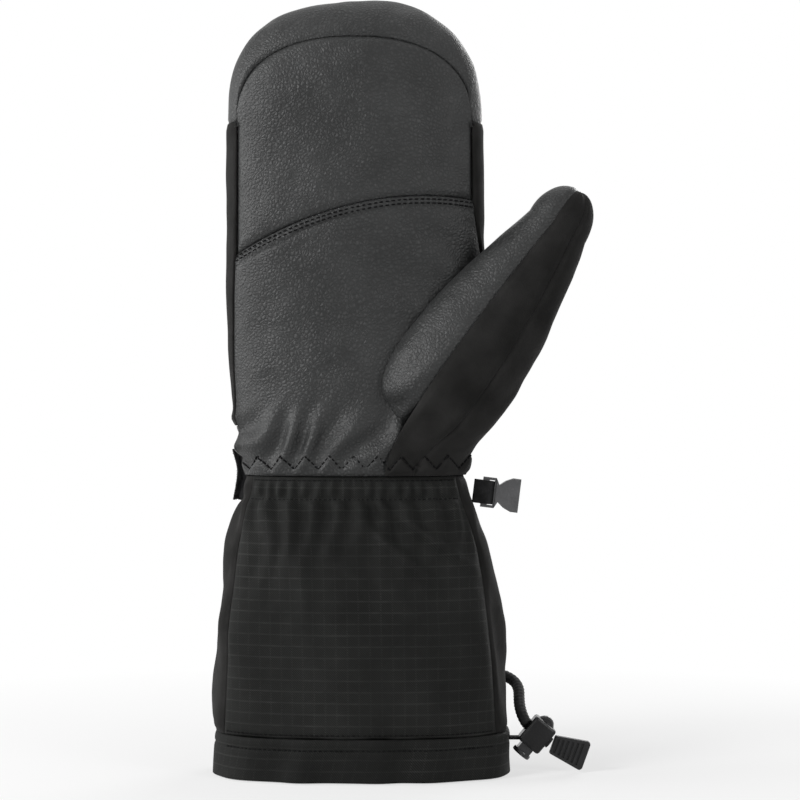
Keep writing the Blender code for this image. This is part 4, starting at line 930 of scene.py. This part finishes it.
def make_strap():
    """Wrist strap on the back, with the fuzzy loop patch under it at the little-finger side."""
    low = WRIST_HEIGHT - STRAP_WIDTH / 2
    column = 360.0 / 28.0
    rows = span(low, low + STRAP_WIDTH, 28)
    back = (0.0, SEAM_GAP / 2, 0.0)
    sewn, level = 360.0 / 7.0, 7 * column

    def patch_point(angle, rise):
        return hand_point(angle, rise, -PATCH_LIFT)

    def strap_point(angle, rise):
        climb = min((angle - sewn) / (level - sewn), 1.0)
        return hand_point(angle, rise, -SEAM_GAP - STRAP_CLIMB * climb - STRAP_THICKNESS)

    fabric("loop_pad", patch_point, span(8 * column, 180.0, 50), lambda angle: rows, nap_push, PILE,
           ["loop_patch"], thickness=PATCH_THICKNESS, roll=0.1, shift=back)
    fabric("strap", strap_point, span(sewn, 180.0, 90), lambda angle: rows, flat_push, WEBBING,
           ["wrist_strap"], thickness=STRAP_THICKNESS, roll=0.25, body="strap", shift=back)
    chance = random.Random(7)
    bm = bmesh.new()
    for _ in range(FUZZ_COUNT):
        angle = chance.uniform(176.0, 180.0)
        rise = chance.uniform(low + 0.3, low + STRAP_WIDTH - 0.3)
        start = hand_point(angle, rise, -chance.uniform(0.2, 2.4)) + Vector(back)
        lean = Vector((-chance.uniform(-0.3, 1.3), -chance.uniform(0.6, 2.2), chance.uniform(-0.7, 0.7)))
        curl = Vector((-chance.uniform(-0.2, 0.6), chance.uniform(-0.5, 0.5), chance.uniform(-0.6, 0.6)))
        tube(bm, [start, start + lean * 0.6, start + lean + curl], FUZZ_RADIUS, 4)
    finish_object("loop_fuzz", bm, PILE, (), "mitten")


def make_clip_webbing():
    """Webbing bent round the buckle's bar, with soft edges."""
    turns = [math.radians(-90.0 + 7.5 * step) for step in range(25)]
    outside = [(WEB_OUTER * math.cos(turn), WEB_OUTER * math.sin(turn)) for turn in turns]
    inside = [(WEB_INNER * math.cos(turn), WEB_INNER * math.sin(turn)) for turn in turns[::-1]]
    outline = ([(-WEB_LEAD, -WEB_OUTER)] + outside + [(-WEB_LEAD, WEB_OUTER), (-WEB_LEAD, WEB_INNER)]
               + inside + [(-WEB_LEAD, -WEB_INNER)])
    across = span(-WEB_WIDTH / 2, WEB_WIDTH / 2, 24)
    tilt = math.radians(CLIP_TILT)
    bm = bmesh.new()
    rows = []
    for x, y in outline:
        row = []
        for place in across:
            turned_x = x * math.cos(tilt) + place * math.sin(tilt)
            turned_z = place * math.cos(tilt) - x * math.sin(tilt)
            row.append(bm.verts.new(Vector(CLIP_BAR) + Vector((turned_x, y, turned_z))))
        rows.append(row)
    for j in range(len(rows)):
        for i in range(1, len(across)):
            bm.faces.new((rows[j - 1][i - 1], rows[j - 1][i], rows[j][i], rows[j][i - 1]))
    bm.faces.new([row[0] for row in rows][::-1])
    bm.faces.new([row[-1] for row in rows])
    bmesh.ops.recalc_face_normals(bm, faces=bm.faces)
    webbing = finish_object("clip_web", bm, WEBBING, ["clip_webbing"], "mitten")
    soft = webbing.modifiers.new("soft edge", "BEVEL")
    soft.width = 0.2 * MM
    soft.segments = 2
    soft.limit_method = "ANGLE"


def make_anchor_ribbon():
    """Ribbon from the hem to the cord lock, a little longer than its CAD node so that it reaches the lock."""
    low, high = [Vector(corner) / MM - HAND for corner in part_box("lock_anchor_loop")]
    middle = (low + high) / 2
    half = (high - low) / 2
    far = half.x + ANCHOR_OVERLAP
    ribbon = [(-half.x, -half.z), (far, -half.z), (far, half.z), (-half.x, half.z)]
    bm = bmesh.new()
    rings = []
    for place in span(-half.y, half.y, 8):
        rings.append([bm.verts.new(middle + Vector((x, place, z))) for x, z in ribbon])
    skin(bm, rings)
    bmesh.ops.recalc_face_normals(bm, faces=bm.faces)
    finish_object("anchor_ribbon", bm, WEBBING, ["lock_anchor_loop"], "mitten")


def cord_path():
    """Smooth curve of the drawcord, from the eyelet through its route to the cord lock's upper hole."""
    along = hand_point(EYELET_ANGLE + 1.0, CINCH_HEIGHT) - hand_point(EYELET_ANGLE - 1.0, CINCH_HEIGHT)
    outward = Vector((along.y, -along.x, 0.0)).normalized()
    start = hand_point(EYELET_ANGLE, CINCH_HEIGHT) - outward * SHELL
    lean = math.radians(LOCK_LEAN)
    x, z = CORD_HOLE_X, LOCK_HEIGHT / 2 + SEAM_GAP
    hole = Vector((x * math.cos(lean) - z * math.sin(lean), 0.0, x * math.sin(lean) + z * math.cos(lean)))
    knots = [start] + [Vector(point) for point in CORD_ROUTE] + [Vector(LOCK_CENTRE) + hole]
    stations = [[(index, knot[axis]) for index, knot in enumerate(knots)] for axis in range(3)]
    between = 20
    steps = between * (len(knots) - 1)
    return [Vector([smooth_value(line, place / between) for line in stations]) for place in range(steps + 1)]


def make_drawcord():
    """Braided cord from the eyelet to the cord lock."""
    path = cord_path()
    last = len(path) - 1
    sides = 32
    across = Vector((0.0, 0.0, 1.0))
    bm = bmesh.new()
    rings = []
    travelled = 0.0
    for index, point in enumerate(path):
        ahead = (path[min(index + 1, last)] - path[max(index - 1, 0)]).normalized()
        across = (across - ahead * across.dot(ahead)).normalized()
        other = ahead.cross(across)
        if index:
            travelled += (point - path[index - 1]).length
        twist = travelled * BRAID_TWIST
        ring = []
        for side in range(sides):
            turn = math.tau * side / sides
            braid = math.cos(BRAID_STRANDS * turn + twist) * math.cos(BRAID_STRANDS * turn - twist)
            radius = CORD_DIAMETER / 2 - BRAID_DEPTH + BRAID_DEPTH * braid
            ring.append(bm.verts.new(point + (across * math.cos(turn) + other * math.sin(turn)) * radius))
        rings.append(ring)
    skin(bm, rings)
    bmesh.ops.recalc_face_normals(bm, faces=bm.faces)
    cord = finish_object("drawcord_braid", bm, CORD, ["drawcord"], "mitten")


# Stage, lamps and camera


def background_rays(tree):
    """Socket that is 1 for rays from the camera, a mirror or glass, which meet the plain white background."""
    path = tree.nodes.new("ShaderNodeLightPath")
    found = path.outputs["Is Camera Ray"]
    for name in ("Is Glossy Ray", "Is Transmission Ray"):
        most = tree.nodes.new("ShaderNodeMath")
        most.operation = "MAXIMUM"
        tree.links.new(found, most.inputs[0])
        tree.links.new(path.outputs[name], most.inputs[1])
        found = most.outputs[0]
    return found


def mix_shaders(tree, share, first, second, output):
    """Sends the first shader to the output, and the second where share is 1."""
    mix = tree.nodes.new("ShaderNodeMixShader")
    tree.links.new(share, mix.inputs[0])
    tree.links.new(first.outputs[0], mix.inputs[1])
    tree.links.new(second.outputs[0], mix.inputs[2])
    tree.links.new(mix.outputs[0], tree.nodes[output].inputs["Surface"])


def make_world():
    """Dim sky that lights the mitten, shown as plain white to the camera."""
    world = bpy.data.worlds.new("studio")
    world.use_nodes = True
    bpy.context.scene.world = world
    tree = world.node_tree
    sky = tree.nodes["Background"]
    sky.inputs["Color"].default_value = WHITE
    sky.inputs["Strength"].default_value = SKY_STRENGTH
    white = tree.nodes.new("ShaderNodeBackground")
    white.inputs["Color"].default_value = WHITE
    white.inputs["Strength"].default_value = 1.0
    mix_shaders(tree, background_rays(tree), sky, white, "World Output")


def make_floor():
    """Floor that keeps the mitten's shadow and fades to plain white."""
    look = Look("floor white", 0.5, specular=0.0)
    look.shader.inputs["Base Color"].default_value = FLOOR_GREY
    glow = look.node("ShaderNodeEmission", Strength=1.0)
    distance = look.node("ShaderNodeVectorMath")
    distance.operation = "LENGTH"
    look.link(look.place.outputs["Object"], distance.inputs[0])
    near, far = SHADOW_REACH
    limits = {"From Min": near, "From Max": far, "To Min": SHADOW_GLOW, "To Max": 1.0}
    fade = look.node("ShaderNodeMapRange", **limits)
    look.link(distance.outputs["Value"], fade.inputs["Value"])
    share = look.math("MULTIPLY", fade.outputs["Result"], background_rays(look.tree))
    mix_shaders(look.tree, share, look.shader, glow, "Material Output")

    bm = bmesh.new()
    bmesh.ops.create_grid(bm, x_segments=2, y_segments=2, size=FLOOR_SIZE)
    mesh = bpy.data.meshes.new("floor")
    bm.to_mesh(mesh)
    bm.free()
    mesh.materials.append(look.material)
    floor = bpy.data.objects.new("floor", mesh)
    floor.location.z = -FLOOR_DROP
    bpy.context.scene.collection.objects.link(floor)


def make_lamps():
    for name, place, target, size, power in LAMPS:
        data = bpy.data.lights.new(name, "AREA")
        data.shape = "DISK"
        data.size = size
        data.energy = power
        lamp = bpy.data.objects.new(name, data)
        lamp.location = place
        lamp.rotation_euler = (Vector(target) - Vector(place)).to_track_quat("-Z", "Y").to_euler()
        bpy.context.scene.collection.objects.link(lamp)


def make_camera():
    """Level camera in front of the palm, with the photograph's scale."""
    data = bpy.data.cameras.new("camera")
    data.sensor_width = SENSOR_WIDTH
    data.lens = SENSOR_WIDTH * CAMERA_DISTANCE / PHOTO_SCALE / PHOTO_SIZE
    camera = bpy.data.objects.new("camera", data)
    middle = HAND.x + (PHOTO_SIZE / 2 - PHOTO_HAND_COLUMN) * PHOTO_SCALE
    camera.location = Vector((middle, -CAMERA_DISTANCE, CAMERA_HEIGHT)) * MM
    camera.rotation_euler = (math.pi / 2, 0.0, 0.0)
    bpy.context.scene.collection.objects.link(camera)
    bpy.context.scene.camera = camera


bpy.context.scene.view_settings.view_transform = "Standard"
make_world()
make_floor()
make_lamps()
make_camera()
paint_nodes()
make_drawcord()
make_hand()
make_thumb()
make_cuff()
make_stitching()
make_strap()
make_clip_webbing()
make_anchor_ribbon()
